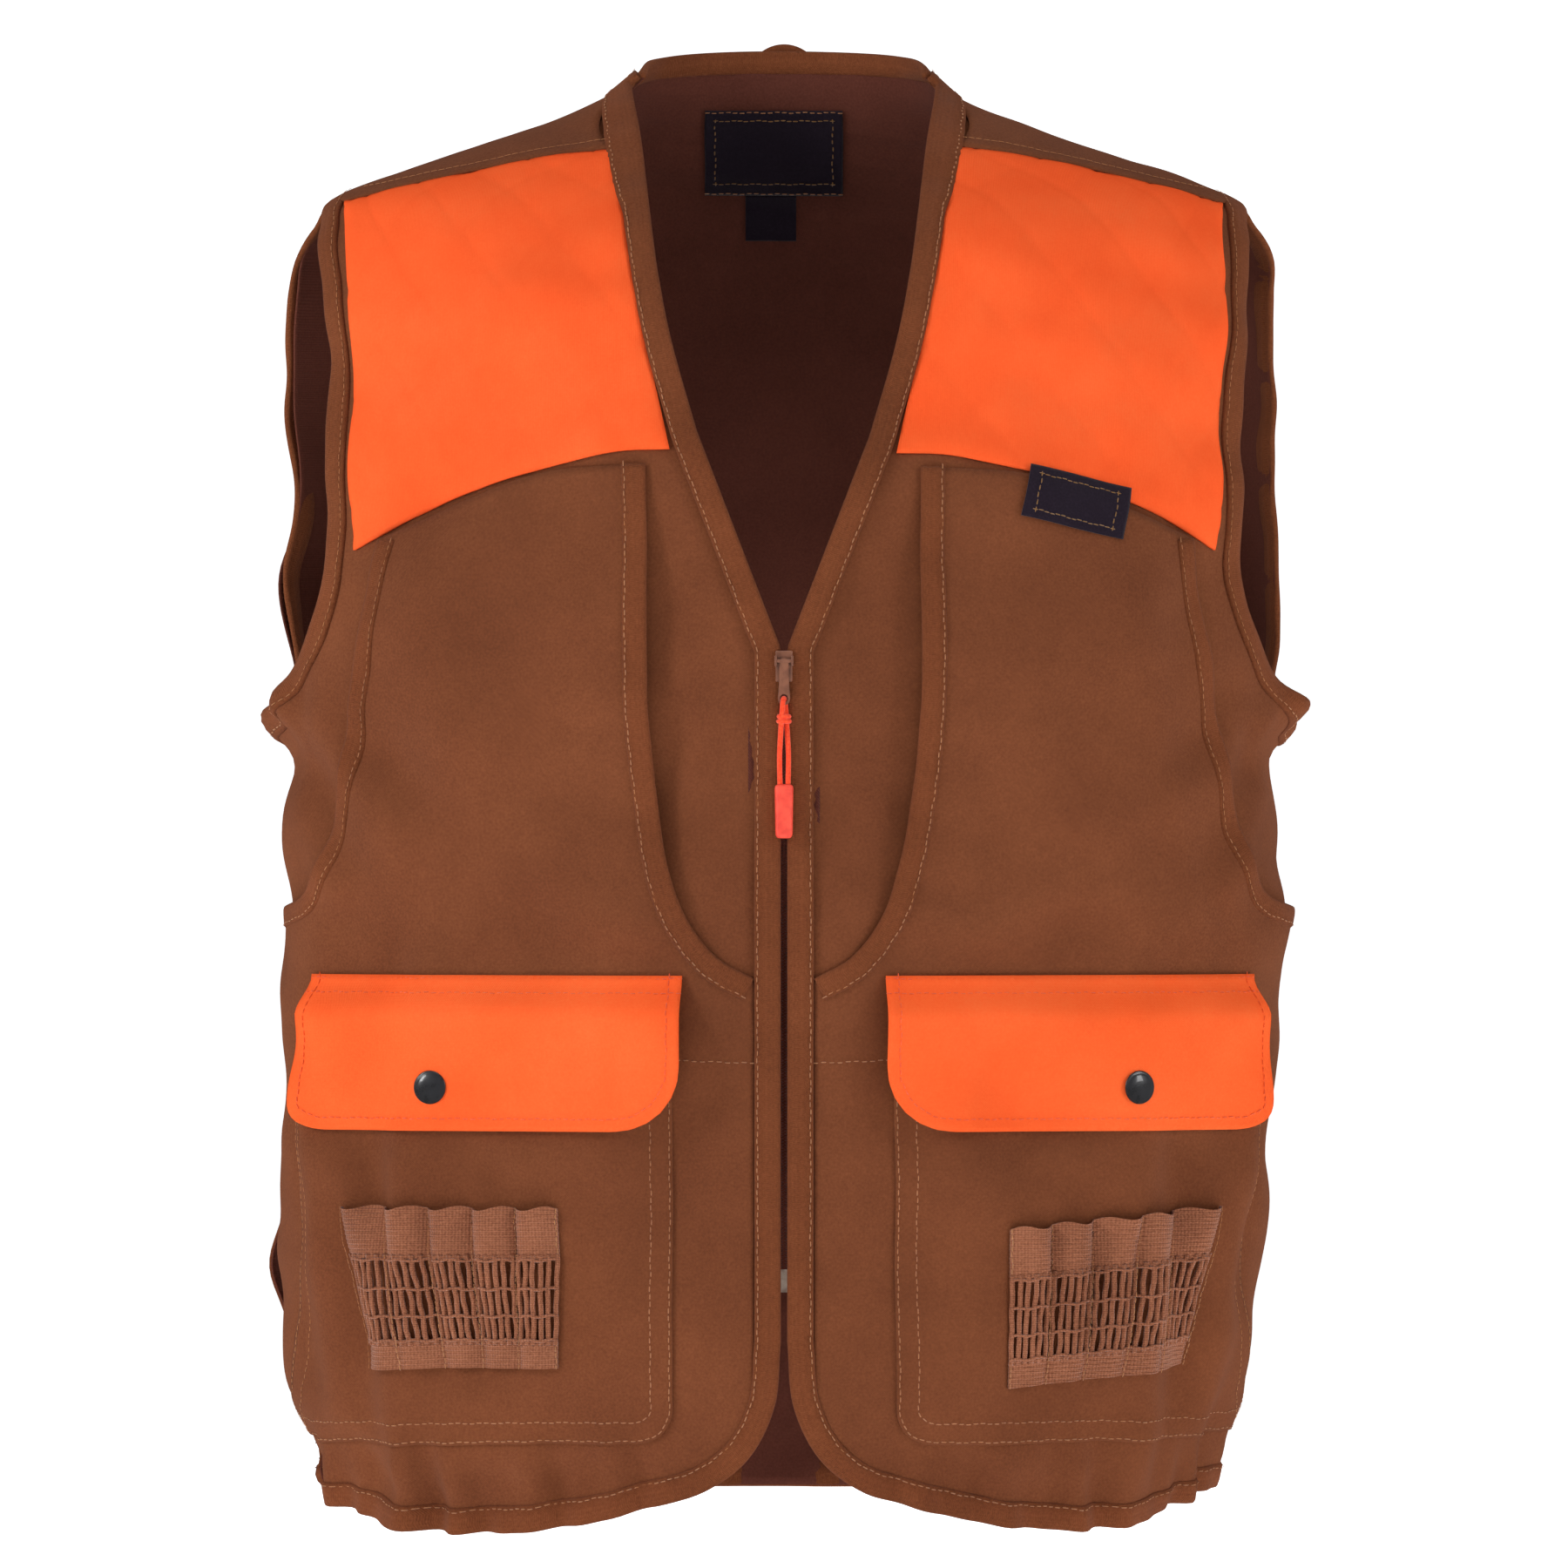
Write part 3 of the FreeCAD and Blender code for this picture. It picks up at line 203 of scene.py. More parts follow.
def point(theta, z, off, still=False):
    """The place at angle theta (0 at the front's middle) and level z, off millimetres out."""
    theta, z, off = np.broadcast_arrays(*(np.asarray(value, float) for value in (theta, z, off)))
    wide, deep, back = section(z)
    d_wide, d_deep, d_back = (np.interp(z, DENSE, values) for values in (D_WIDE, D_DEEP, D_BACK))
    sin, cos = np.sin(theta), np.cos(theta)
    along = np.stack((wide * cos, deep * sin, np.zeros_like(z)), -1)
    up = np.stack((d_wide * sin, d_back - d_deep * cos, np.ones_like(z)), -1)
    normal = np.cross(along, up)
    normal /= np.linalg.norm(normal, axis=-1, keepdims=True)
    base = np.stack((wide * sin, back - deep * cos, z), -1)
    high = off if still else off + folds(theta, z)
    return (base + normal * high[..., None]) * MM + np.array((0, 0, HEM))


def seam_angle(z):
    wide, deep, back = section(z)
    return np.arccos(np.clip((back - SEAM_Y) / deep, -1, 1))


def angle_at(x, z, off=0.0):
    """Angle of an outline's point (x, z) as seen from the front, on cloth off millimetres out."""
    return min(math.asin(min(x / (float(section(z)[0]) + off), 1)), float(seam_angle(z)))


def angle_at_y(y, z):
    wide, deep, back = section(z)
    return float(np.arccos(np.clip((back - y) / deep, -1, 1)))


# ------------------------------------------------------------------ outlines

def smooth(points, steps=14):
    """Catmull-Rom curve through points."""
    pts = [np.array(p, float) for p in points]
    pts = [2 * pts[0] - pts[1]] + pts + [2 * pts[-1] - pts[-2]]
    out = []
    for a, b, c, d in zip(pts, pts[1:], pts[2:], pts[3:]):
        for f in np.arange(steps) / steps:
            out.append(0.5 * (2 * b + (c - a) * f + (2 * a - 5 * b + 4 * c - d) * f ** 2
                              + (3 * b - a - 3 * c + d) * f ** 3))
    return np.array(out + [pts[-2]])


def straight(*points):
    out = []
    for a, b in zip(points, points[1:]):
        out += [np.array(a, float) * (1 - f) + np.array(b, float) * f for f in np.arange(12) / 12]
    return np.array(out + [np.array(points[-1], float)])


def on_cloth(*runs, off=0.0):
    """Join runs of (x, z) points into one line of (theta, z)."""
    line = []
    for run in runs:
        for x, z in run:
            theta = angle_at(x, z, off)
            if not line or abs(theta - line[-1][0]) + abs(z - line[-1][1]) > 1e-6:
                line.append((theta, z))
    return np.array(line)


def resample(line, count):
    """The same line with points evenly spaced along the cloth."""
    place = point(line[:, 0], line[:, 1], 0, still=True)
    length = np.concatenate(([0], np.cumsum(np.linalg.norm(np.diff(place, axis=0), axis=1))))
    at = np.linspace(0, length[-1], count)
    return np.stack((np.interp(at, length, line[:, 0]), np.interp(at, length, line[:, 1])), -1)


def line_length(line):
    place = point(line[:, 0], line[:, 1], 0, still=True)
    return float(np.sum(np.linalg.norm(np.diff(place, axis=0), axis=1)))


def patch(left, right, bottom, top, pitch=0.004):
    """A grid of (theta, z) between four edges that run upwards and outwards."""
    rows = max(4, int(max(line_length(left), line_length(right)) / pitch))
    columns = max(4, int(max(line_length(bottom), line_length(top)) / pitch))
    left, right = resample(left, rows), resample(right, rows)
    bottom, top = resample(bottom, columns), resample(top, columns)
    u = np.linspace(0, 1, columns)[None, :, None]
    v = np.linspace(0, 1, rows)[:, None, None]
    return ((1 - v) * bottom[None] + v * top[None] + (1 - u) * left[:, None] + u * right[:, None]
            - (1 - u) * (1 - v) * left[0] - u * (1 - v) * right[0]
            - (1 - u) * v * left[-1] - u * v * right[-1])


# ------------------------------------------------------------------ meshes

def add_piece(name, data, material, smooth_shade=True):
    """Put a mesh or curve into the scene with its material."""
    data.materials.append(material)
    if smooth_shade:
        data.polygons.foreach_set("use_smooth", [True] * len(data.polygons))
    obj = bpy.data.objects.new(name, data)
    bpy.context.scene.collection.objects.link(obj)
    return obj


def new_object(name, vertices, faces, material, uv=None):
    mesh = bpy.data.meshes.new(name)
    mesh.from_pydata([tuple(v) for v in vertices], [], faces)
    mesh.validate()
    if uv is not None:
        layer = mesh.uv_layers.new(name="cloth")
        index = np.empty(len(mesh.loops), int)
        mesh.loops.foreach_get("vertex_index", index)
        layer.data.foreach_set("uv", uv[index].astype(np.float32).ravel())
    return add_piece(name, mesh, material)


def from_bmesh(name, shape, material, smooth_shade=True):
    mesh = bpy.data.meshes.new(name)
    shape.to_mesh(mesh)
    shape.free()
    return add_piece(name, mesh, material, smooth_shade)


def grid_faces(rows, columns, base=0, flip=False, wrap=False):
    faces = []
    for r in range(rows - 1):
        for c in range(columns if wrap else columns - 1):
            n = (c + 1) % columns
            face = (base + r * columns + c, base + r * columns + n,
                    base + (r + 1) * columns + n, base + (r + 1) * columns + c)
            faces.append(face[::-1] if flip else face)
    return faces


def tube_faces(rows, columns, base=0, flip=False):
    """Faces of a closed tube of rings, with both ends capped."""
    last = base + (rows - 1) * columns
    faces = grid_faces(rows, columns, base, flip, wrap=True)
    faces.append(tuple(range(base, base + columns))[::(1 if flip else -1)])
    faces.append(tuple(range(last, last + columns))[::(-1 if flip else 1)])
    return faces


def corners(node):
    """Low and high corner of a CAD node's box, in metres."""
    return [Vector(corner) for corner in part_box(node)]


def sheet_faces(rows, columns, flip=False):
    """Faces of a closed sheet: its outer grid, its inner grid and the rim between them."""
    count = rows * columns
    faces = grid_faces(rows, columns, 0, flip) + grid_faces(rows, columns, count, not flip)
    ring = list(range(columns)) + [r * columns + columns - 1 for r in range(1, rows)]
    ring += [count - 2 - c for c in range(columns - 1)] + [r * columns for r in range(rows - 2, 0, -1)]
    for a, b in zip(ring, ring[1:] + ring[:1]):
        face = (b, a, a + count, b + count)
        faces.append(face[::-1] if flip else face)
    return faces


def cloth(name, grid, off, thick, material, side=1):
    """A closed sheet over a (theta, z) grid; off is its middle's height above the form."""
    theta, z = grid[..., 0] * side, grid[..., 1]
    outer = point(theta, z, off + thick / 2).reshape(-1, 3)
    inner = point(theta, z, off - thick / 2).reshape(-1, 3)
    uv = np.stack(cloth_xy(theta, z), -1).reshape(-1, 2) * MM
    return new_object(name, np.concatenate((outer, inner)), sheet_faces(*grid.shape[:2], side < 0),
                      material, np.concatenate((uv, uv)))


def frame_along(line):
    """Unit steps on the cloth at each point of a line: along it, and to its left, as (theta, z)."""
    theta, z = line[:, 0], line[:, 1]
    wide, deep, _ = section(z)
    per_theta = np.hypot(wide * np.cos(theta), deep * np.sin(theta))
    slope = np.hypot(1, np.interp(z, DENSE, D_WIDE) * np.abs(np.sin(theta)))
    step = np.gradient(line, axis=0)
    flat = np.stack((step[:, 0] * per_theta, step[:, 1] * slope), -1)
    flat /= np.linalg.norm(flat, axis=1, keepdims=True) + 1e-12
    across = np.stack((-flat[:, 1], flat[:, 0]), -1)
    scale = np.stack((1 / per_theta, 1 / slope), -1)
    return flat * scale, across * scale


def beside(line, distance):
    """A line moved to its left over the cloth, in millimetres; negative moves it right."""
    return line + frame_along(line)[1] * distance


BINDING_SECTION = ((-0.7, 0.0), (-0.45, 0.75), (0.7, 1.0), (0.3, 1.08), (0.6, 1.02), (-1.0, 0.95),
                   (0.0, 0.4), (0.0, -0.4), (-1.0, -0.95), (0.5, -1.0), (0.7, -1.0), (-0.45, -0.75))


def binding(name, line, width, off, half, material, side=1, left=True, pucker=0.25):
    """Folded tape around an edge: line is the edge, the tape lies on its left (or right) side."""
    line = resample(line, max(8, int(line_length(line) / 0.0032)))
    rows = len(line)
    across = frame_along(line)[1] * (1 if left else -1)
    run = np.arange(rows) * 3.2
    wobble = 1 + pucker * np.sin(run / 5.1) * np.sin(run / 17.0 + 1)
    places = []
    for number, (inset, height) in enumerate(BINDING_SECTION):
        if number in (3, 4, 9):
            reach = inset * width
        else:
            reach = inset if number in (0, 1, 2, 10, 11) else width + inset * 0.8
        at = line + across * reach
        lift = off(at[:, 0], at[:, 1]) if callable(off) else off
        places.append(point(at[:, 0] * side, at[:, 1], lift + half * height * wobble))
    ring = np.stack(places, 1)
    columns = len(places)
    faces = tube_faces(rows, columns, 0, (side > 0) == left)
    uv = np.stack((np.repeat(run[:, None], columns, 1),
                   np.repeat(np.array([s[0] * 3 for s in BINDING_SECTION])[None], rows, 0)), -1)
    return new_object(name, ring.reshape(-1, 3), faces, material, uv.reshape(-1, 2) * MM)


STITCH = ((-1.35, 0.0, 0.0), (-0.9, 0.26, 0.12), (-0.9, -0.26, 0.12), (0.9, 0.26, 0.12),
          (0.9, -0.26, 0.12), (1.35, 0.0, 0.0), (0.0, 0.0, 0.42), (-0.9, 0.0, 0.34), (0.9, 0.0, 0.34))
STITCH_FACES = ((0, 2, 7), (0, 7, 1), (2, 4, 8, 7), (7, 8, 3, 1), (4, 5, 8), (8, 5, 3),
                (0, 1, 2), (1, 3, 4, 2), (3, 5, 4))
STITCH_PITCH = 3.5


def above(surface, lift):
    """The height of a surface plus a lift, again as a function of (theta, z)."""
    def height(theta, z):
        return surface(theta, z) + lift
    return height


def stitches(name, lines, off, material, side=1, pitch=STITCH_PITCH):
    """Rows of thread along lines of (theta, z), each stitch a small raised bar."""
    vertices, faces = [], []
    for line in lines:
        count = max(2, int(line_length(line) / MM / pitch))
        fine = resample(line, count)
        along, across = frame_along(fine)
        for index in range(count):
            sway = 0.25 * math.sin(index * 1.7)
            spots = np.array([fine[index] + along[index] * a + across[index] * (b + sway)
                              for a, b, _ in STITCH])
            lift = off(spots[:, 0], spots[:, 1]) if callable(off) else off
            place = point(spots[:, 0] * side, spots[:, 1], lift + np.array([c for _, _, c in STITCH]))
            base = len(vertices)
            vertices += list(place)
            faces += [tuple(base + i for i in (face if side < 0 else face[::-1])) for face in STITCH_FACES]
    return new_object(name, np.array(vertices), faces, material)


# ------------------------------------------------------------------ materials

def srgb(red, green, blue):
    """A colour given as 0-255 screen values, as linear light."""
    return tuple(((c / 255 + 0.055) / 1.055) ** 2.4 if c > 10 else c / 255 / 12.92
                 for c in (red, green, blue)) + (1.0,)


def blank(name, roughness, sheen=0.0, coat=0.0, metallic=0.0):
    material = bpy.data.materials.new(name)
    material.use_nodes = True
    nodes = material.node_tree.nodes
    shader = nodes["Principled BSDF"]
    shader.inputs["Roughness"].default_value = roughness
    shader.inputs["Metallic"].default_value = metallic
    shader.inputs["Sheen Weight"].default_value = sheen
    shader.inputs["Sheen Roughness"].default_value = 0.45
    shader.inputs["Coat Weight"].default_value = coat
    shader.inputs["Specular IOR Level"].default_value = 0.0
    return material, nodes, material.node_tree.links, shader


def math_node(nodes, links, kind, first, second):
    node = nodes.new("ShaderNodeMath")
    node.operation = kind
    for socket, value in zip(node.inputs, (first, second)):
        if isinstance(value, (int, float)):
            socket.default_value = value
        else:
            links.new(value, socket)
    return node.outputs[0]


def noise(nodes, links, scale, detail, roughness=0.5):
    place = nodes.new("ShaderNodeTexCoord")
    texture = nodes.new("ShaderNodeTexNoise")
    texture.inputs["Scale"].default_value = scale
    texture.inputs["Detail"].default_value = detail
    texture.inputs["Roughness"].default_value = roughness
    links.new(place.outputs["Object"], texture.inputs["Vector"])
    return texture.outputs["Fac"]


def tint(nodes, links, shader, source, first, last, middle=None):
    """Base colour from source: each stop is (position, colour)."""
    colours = nodes.new("ShaderNodeValToRGB")
    stops = colours.color_ramp.elements
    stops[0].position, stops[0].color = first
    stops[1].position, stops[1].color = last
    if middle:
        stops.new(middle[0]).color = middle[1]
    links.new(source, colours.inputs[0])
    links.new(colours.outputs[0], shader.inputs["Base Color"])


def texture_surface(nodes, links, shader, source, rough_range, height, strength, depth):
    """Roughness that follows source, and relief that follows height."""
    rough = nodes.new("ShaderNodeMapRange")
    rough.inputs["To Min"].default_value, rough.inputs["To Max"].default_value = rough_range
    links.new(source, rough.inputs["Value"])
    links.new(rough.outputs[0], shader.inputs["Roughness"])
    relief = nodes.new("ShaderNodeBump")
    relief.inputs["Strength"].default_value = strength
    relief.inputs["Distance"].default_value = depth
    links.new(height, relief.inputs["Height"])
    links.new(relief.outputs[0], shader.inputs["Normal"])


def woven(name, base, dark, light, pitch, slant, roughness, depth, sheen=0.25, patchy=0.5, rib=0.0):
    """Cloth with threads of the given pitch: twill when slant is not 0, with fine grain and large lighter and
    darker patches that are partly random tone and partly painted sheen.
    """
    material, nodes, links, shader = blank(name, roughness, sheen)

    def combine(kind, first, second):
        return math_node(nodes, links, kind, first, second)

    coordinates = nodes.new("ShaderNodeUVMap")
    coordinates.uv_map = "cloth"
    split = nodes.new("ShaderNodeSeparateXYZ")
    links.new(coordinates.outputs[0], split.inputs[0])
    across, up = split.outputs[0], split.outputs[1]
    turns = 2 * math.pi / pitch
    slanted = combine("ADD", combine("MULTIPLY", across, turns), combine("MULTIPLY", up, turns * slant))
    weft = combine("SINE", combine("MULTIPLY", up, turns * 1.3), 0)
    threads = combine("ADD", combine("SINE", slanted, 0), combine("MULTIPLY", weft, 0.45 + rib))
    # The large noise patches are partly random tone and partly painted sheen: lighter and darker colour
    # standing in for the cloth's satin sheen.
    tone_and_sheen_blotch, grain = noise(nodes, links, 14, 6, 0.62), noise(nodes, links, 900, 3)
    mixed = combine("ADD", combine("MULTIPLY", tone_and_sheen_blotch, patchy), combine("MULTIPLY", grain, 1 - patchy))
    tinted = combine("ADD", mixed, combine("MULTIPLY", threads, 0.055))
    tint(nodes, links, shader, tinted, (0.30, dark), (0.70, light), (0.5, base))
    texture_surface(nodes, links, shader, tone_and_sheen_blotch, (roughness - 0.07, roughness + 0.08),
                    combine("ADD", threads, grain), 0.55, depth)
    return material


def moulded(name, base, dark, roughness, coat=0.0, metallic=0.0, depth=0.00012):
    """Plastic, enamel or metal: slight mottling, handling wear and a fine surface texture."""
    material, nodes, links, shader = blank(name, roughness, coat=coat, metallic=metallic)
    shader.inputs["Specular IOR Level"].default_value = 0.5
    mottle = noise(nodes, links, 220, 5)
    tint(nodes, links, shader, mottle, (0.35, dark), (0.6, base))
    texture_surface(nodes, links, shader, mottle, (roughness - 0.06, roughness + 0.12), mottle, 0.3, depth)
    return material


# Each cloth's dark and light colours are the ends of its large patches, which are partly random tone and
# partly painted sheen.
TWILL = woven("brown_twill_cloth", srgb(118, 68, 44), srgb(102, 58, 38), srgb(134, 79, 51),
              0.00075, 0.8, 0.52, 0.00010, sheen=0.04)
# The lining is the brown cloth made darker: painted shade for the inside of the back.
SHADE_DARKENED_LINING = woven("brown_lining_painted_shade_cloth", srgb(98, 55, 45), srgb(86, 48, 39), srgb(109, 62, 50),
               0.00075, 0.8, 0.7, 0.00010, sheen=0.03)
TAPE = woven("binding_tape_cloth", srgb(118, 66, 41), srgb(99, 55, 35), srgb(134, 77, 49),
             0.0009, -0.6, 0.6, 0.00014, sheen=0.05)
ORANGE = woven("blaze_orange_cloth", srgb(255, 98, 48), srgb(250, 89, 42), srgb(255, 109, 58),
               0.0007, 0.0, 0.6, 0.00006, sheen=0.0, patchy=0.7)
ORANGE_FLAP = woven("blaze_orange_flap_cloth", srgb(255, 102, 50), srgb(251, 92, 43), srgb(255, 113, 60),
                    0.0008, 0.9, 0.58, 0.00008, sheen=0.0, patchy=0.6)
ELASTIC = woven("ribbed_elastic", srgb(150, 94, 68), srgb(122, 74, 54), srgb(172, 112, 84),
                0.0014, 0.0, 0.7, 0.00020, sheen=0.2, rib=0.9)
LABEL = woven("label_satin_cloth", srgb(36, 28, 38), srgb(30, 23, 32), srgb(44, 35, 46),
              0.0004, 0.0, 0.45, 0.00004, sheen=0.2)
ZIP_TAPE = woven("zipper_tape_cloth", srgb(84, 42, 34), srgb(70, 34, 28), srgb(98, 52, 40),
                 0.0010, 0.7, 0.75, 0.00012)
THREAD = woven("sewing_thread", srgb(176, 118, 76), srgb(150, 96, 60), srgb(196, 138, 92),
               0.0006, 1.0, 0.6, 0.00006)
ORANGE_THREAD = woven("orange_thread", srgb(244, 92, 44), srgb(226, 78, 34), srgb(255, 122, 66),
                      0.0006, 1.0, 0.6, 0.00006)
GOLD_THREAD = woven("label_border_thread", srgb(140, 100, 52), srgb(120, 84, 42), srgb(160, 118, 66),
                    0.0006, 1.0, 0.5, 0.00006)
COIL = moulded("zipper_coil_nylon", srgb(92, 38, 32), srgb(66, 26, 24), 0.42)
STOP = moulded("zipper_stop_metal", srgb(196, 176, 160), srgb(150, 128, 116), 0.34, metallic=0.6)
ENAMEL = moulded("slider_enamel_paint", srgb(140, 88, 64), srgb(116, 70, 50), 0.36, coat=0.3)
SNAP = moulded("snap_black_enamel", srgb(34, 34, 38), srgb(22, 22, 25), 0.26, coat=0.5)
METAL = moulded("snap_plated_metal", srgb(150, 144, 132), srgb(110, 104, 94), 0.35, metallic=1.0)
CORD = woven("pull_cord_braid", srgb(246, 76, 46), srgb(214, 54, 34), srgb(255, 104, 68),
             0.0011, 1.0, 0.6, 0.00020)
GRIP = moulded("pull_grip_rubber", srgb(255, 84, 62), srgb(236, 66, 50), 0.5, depth=0.0002)


# ------------------------------------------------------------------ where each piece goes

def settle(obj, body, slot, *nodes):
    """Attach the piece to its body, if one is given, and hide the nodes it stands for; slot is not used."""
    if body:
        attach(obj, body)
    if nodes:
        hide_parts(*nodes)


def on_front(obj, name, slot, *nodes):
    """Fix the piece's place into its mesh and hide the nodes it stands for."""
    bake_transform(obj)
    settle(obj, None, slot, *nodes)


def sew(name, label, lines, off, side, slot, pitch=STITCH_PITCH):
    """Rows of stitches on one front."""
    on_front(stitches(label + "_" + name, lines, off, THREAD, side, pitch), name, slot)


CORNER = smooth(((EDGE_X, 92), (5, 62), (17, 37), (37, 21), (62, 13)))
V_EDGE = np.concatenate((straight((EDGE_X, ZIP_TOP), (42, 528))[:-1],
                         smooth(((42, 528), (54, 570), (61, 605), (66, 640), (70, 672), (73, 692),
                                 (74, NECK_SIDE)))))


def side_line(low, high, count=30):
    """The side seam between two levels, as (theta, z)."""
    z = np.linspace(low, high, count)
    return np.stack((seam_angle(z), z), -1)


def seam_point(z):
    return np.array((float(seam_angle(z)), float(z)))


def edge_points(*places):
    return [np.array((angle_at(x, z), z)) for x, z in places]


def armhole_line():
    """Front armhole edge from the side seam to the shoulder, as (theta, z)."""
    places = edge_points((238, 403), (229, 427), (222, 452), (219, 480), (219, 520), (221, 562),
                         (223, 604), (224, 632))
    return smooth([seam_point(ARMHOLE_LOW)] + places + [seam_point(ARMHOLE_TOP)], 10)


CENTRE_EDGE = on_cloth(straight((EDGE_X, 92), (EDGE_X, ZIP_TOP)), V_EDGE)
FRONT_HEM = on_cloth(smooth(((62, 13), (100, 4), (145, 0), (178, 3), (200, 9))))
SIDE_HEM = smooth(edge_points((200, 9), (212, 15)) + [seam_point(HEM_SIDE)], 8)


def front_edges():
    """The four edges of one front: centre edge, side with armhole, hem and shoulder seam."""
    hem = np.concatenate((on_cloth(CORNER), FRONT_HEM[1:], SIDE_HEM[1:]))
    right = np.concatenate((side_line(HEM_SIDE, ARMHOLE_LOW), armhole_line()[1:]))
    return CENTRE_EDGE, right, hem, side_line(NECK_SIDE, ARMHOLE_TOP)


def panel_off(theta, z):
    """The front panel stands off the lining around its pocket mouths."""
    return 2.2 + 7.5 * ramp(z, 268, 350) * (1 - ramp(z, 440, 515))


def make_front(side, name):
    lining = cloth("front_lining_cloth_" + name, patch(*front_edges()), 0.6, 1.0, TWILL, side)
    on_front(lining, name, "brown_twill", "front_lining_" + name)
    edge = np.concatenate((SIDE_HEM[::-1], FRONT_HEM[::-1][1:], on_cloth(CORNER[::-1])[1:], CENTRE_EDGE[1:]))
    tape = binding("front_edge_tape_" + name, edge, 12, 2.4, 1.7, TAPE, side, left=False)
    on_front(tape, name, "binding_tape", "front_edge_binding_" + name)
    arm = binding("armhole_front_tape_" + name, armhole_line(), 11, 1.7, 1.6, TAPE, side, pucker=0.2)
    on_front(arm, name, "binding_tape", "armhole_binding_front_" + name)
    sew(name, "front_edge_stitches", [beside(edge, -10.4)], 4.2, side, "binding_tape")
    sew(name, "armhole_stitches", [beside(armhole_line(), 9.4)], 3.4, side, "binding_tape")


PATCH_BOTTOM = smooth(((54, 519), (78, 518), (112, 511), (145, 502), (178, 489), (207, 473)))
PATCH_INNER = smooth(((54, 519), (60, 545), (67, 575), (73, 605), (78, 637), (82, 667)))
PATCH_OUTER = smooth(((207, 473), (209, 515), (210.5, 560), (211.5, 605), (213, 642)))
PATCH_TOP = smooth(((82, 667), (125, 661), (170, 652), (213, 642)))


QUILT = 46.0  # distance between the quilting rows, in millimetres


def edge_distance(across_ends, rows, columns):
    """Grid steps to the nearest edge, or to the nearest but the last row."""
    up = np.arange(rows)
    along = np.arange(columns)
    return np.minimum.outer(np.minimum(up, up[::-1]) if across_ends else up, np.minimum(along, along[::-1]))


def make_shoulder(side, name):
    grid = patch(*(on_cloth(line) for line in (PATCH_INNER, PATCH_OUTER, PATCH_BOTTOM, PATCH_TOP)), 0.0022)
    u, v = cloth_xy(grid[..., 0], grid[..., 1])
    off = 3.2 * np.ones_like(u)
    for lean in (1, -1):
        across = (u + lean * v * 0.82) / QUILT
        gap = np.abs(across - np.round(across)) * QUILT / 1.25
        off = off - 0.5 * np.exp(-(gap / 1.8) ** 2) - 0.12 * np.cos(across * 2 * math.pi)
    off = off - 1.1 * np.exp(-(edge_distance(True, *u.shape) / 1.6) ** 2)
    pad = cloth("shoulder_patch_cloth_" + name, grid, off, 1.6, ORANGE, side)
    on_front(pad, name, "orange_quilt", "shoulder_patch_" + name)
    low, high = on_cloth(PATCH_TOP), side_line(698, 646)
    ends = [np.array([low[k], high[k]]) for k in (0, -1)]
    yoke = cloth("shoulder_yoke_cloth_" + name, patch(*ends, low, high), 2.7, 1.0, TWILL, side)
    on_front(yoke, name, "brown_twill", "shoulder_yoke_" + name)
    sew(name, "yoke_stitches", [beside(low, 12)], 3.6, side, "binding_tape")


J_EDGE = np.concatenate((smooth(((PANEL_X, 266), (33, 277), (47, 297), (56, 326), (62, 362), (65, 400)))[:-1],
                         straight((65, 400), (66, 512))))
MOUTH = smooth(((193, 478), (197, 440), (204, 395), (210, 355), (216, 325), (224, 307), (236, 299.5)))


def make_front_panel(side, name):
    j_line, mouth = on_cloth(J_EDGE), on_cloth(MOUTH)
    right = np.concatenate((side_line(HEM_SIDE, BAG_SEAM), mouth[::-1]))
    left = np.concatenate((on_cloth(straight((PANEL_X, 60), (PANEL_X, 266))), j_line[1:]))
    top = on_cloth(smooth(((66, 512), (112, 509), (150, 497), (193, 478))))
    corner = on_cloth(smooth(((PANEL_X, 60), (22, 42), (40, 24), (62, 15))))
    grid = patch(left, right, np.concatenate((corner, FRONT_HEM[1:], SIDE_HEM[1:])), top)
    panel = cloth("front_panel_cloth_" + name, grid, panel_off(grid[..., 0], grid[..., 1]), 1.0, TWILL, side)
    on_front(panel, name, "brown_twill", "front_panel_" + name)
    for label, line, width in (("chest_pocket", j_line, 11), ("bag_mouth", mouth, 9.5)):
        tape = binding(label + "_tape_" + name, line, width, panel_off, 1.6, TAPE, side, left=False)
        on_front(tape, name, "binding_tape", label + "_binding_" + name)
    lines = [beside(j_line, -9.5), beside(mouth, -8.0)]
    sew(name, "pocket_mouth_stitches", lines, above(panel_off, 1.65), side, "binding_tape")
    header = [on_cloth(straight((15, 226), (54, 227.5)))]
    sew(name, "front_panel_stitches", header, 2.75, side, "brown_twill")


POCKET_IN, POCKET_OUT, POCKET_LOW, POCKET_TOP = 54, 230, 43, 252


def pocket_off(theta, z):
    """The pocket cloth is sewn down at its sides and bottom, and full towards its mouth."""
    x = section(z)[0] * np.sin(np.abs(theta))
    inside = np.minimum(ramp(x, POCKET_IN, POCKET_IN + 52), 1 - ramp(x, POCKET_OUT - 20, POCKET_OUT + 6))
    return 3.6 + 8.4 * inside * ramp(z, POCKET_LOW + 12, 205)


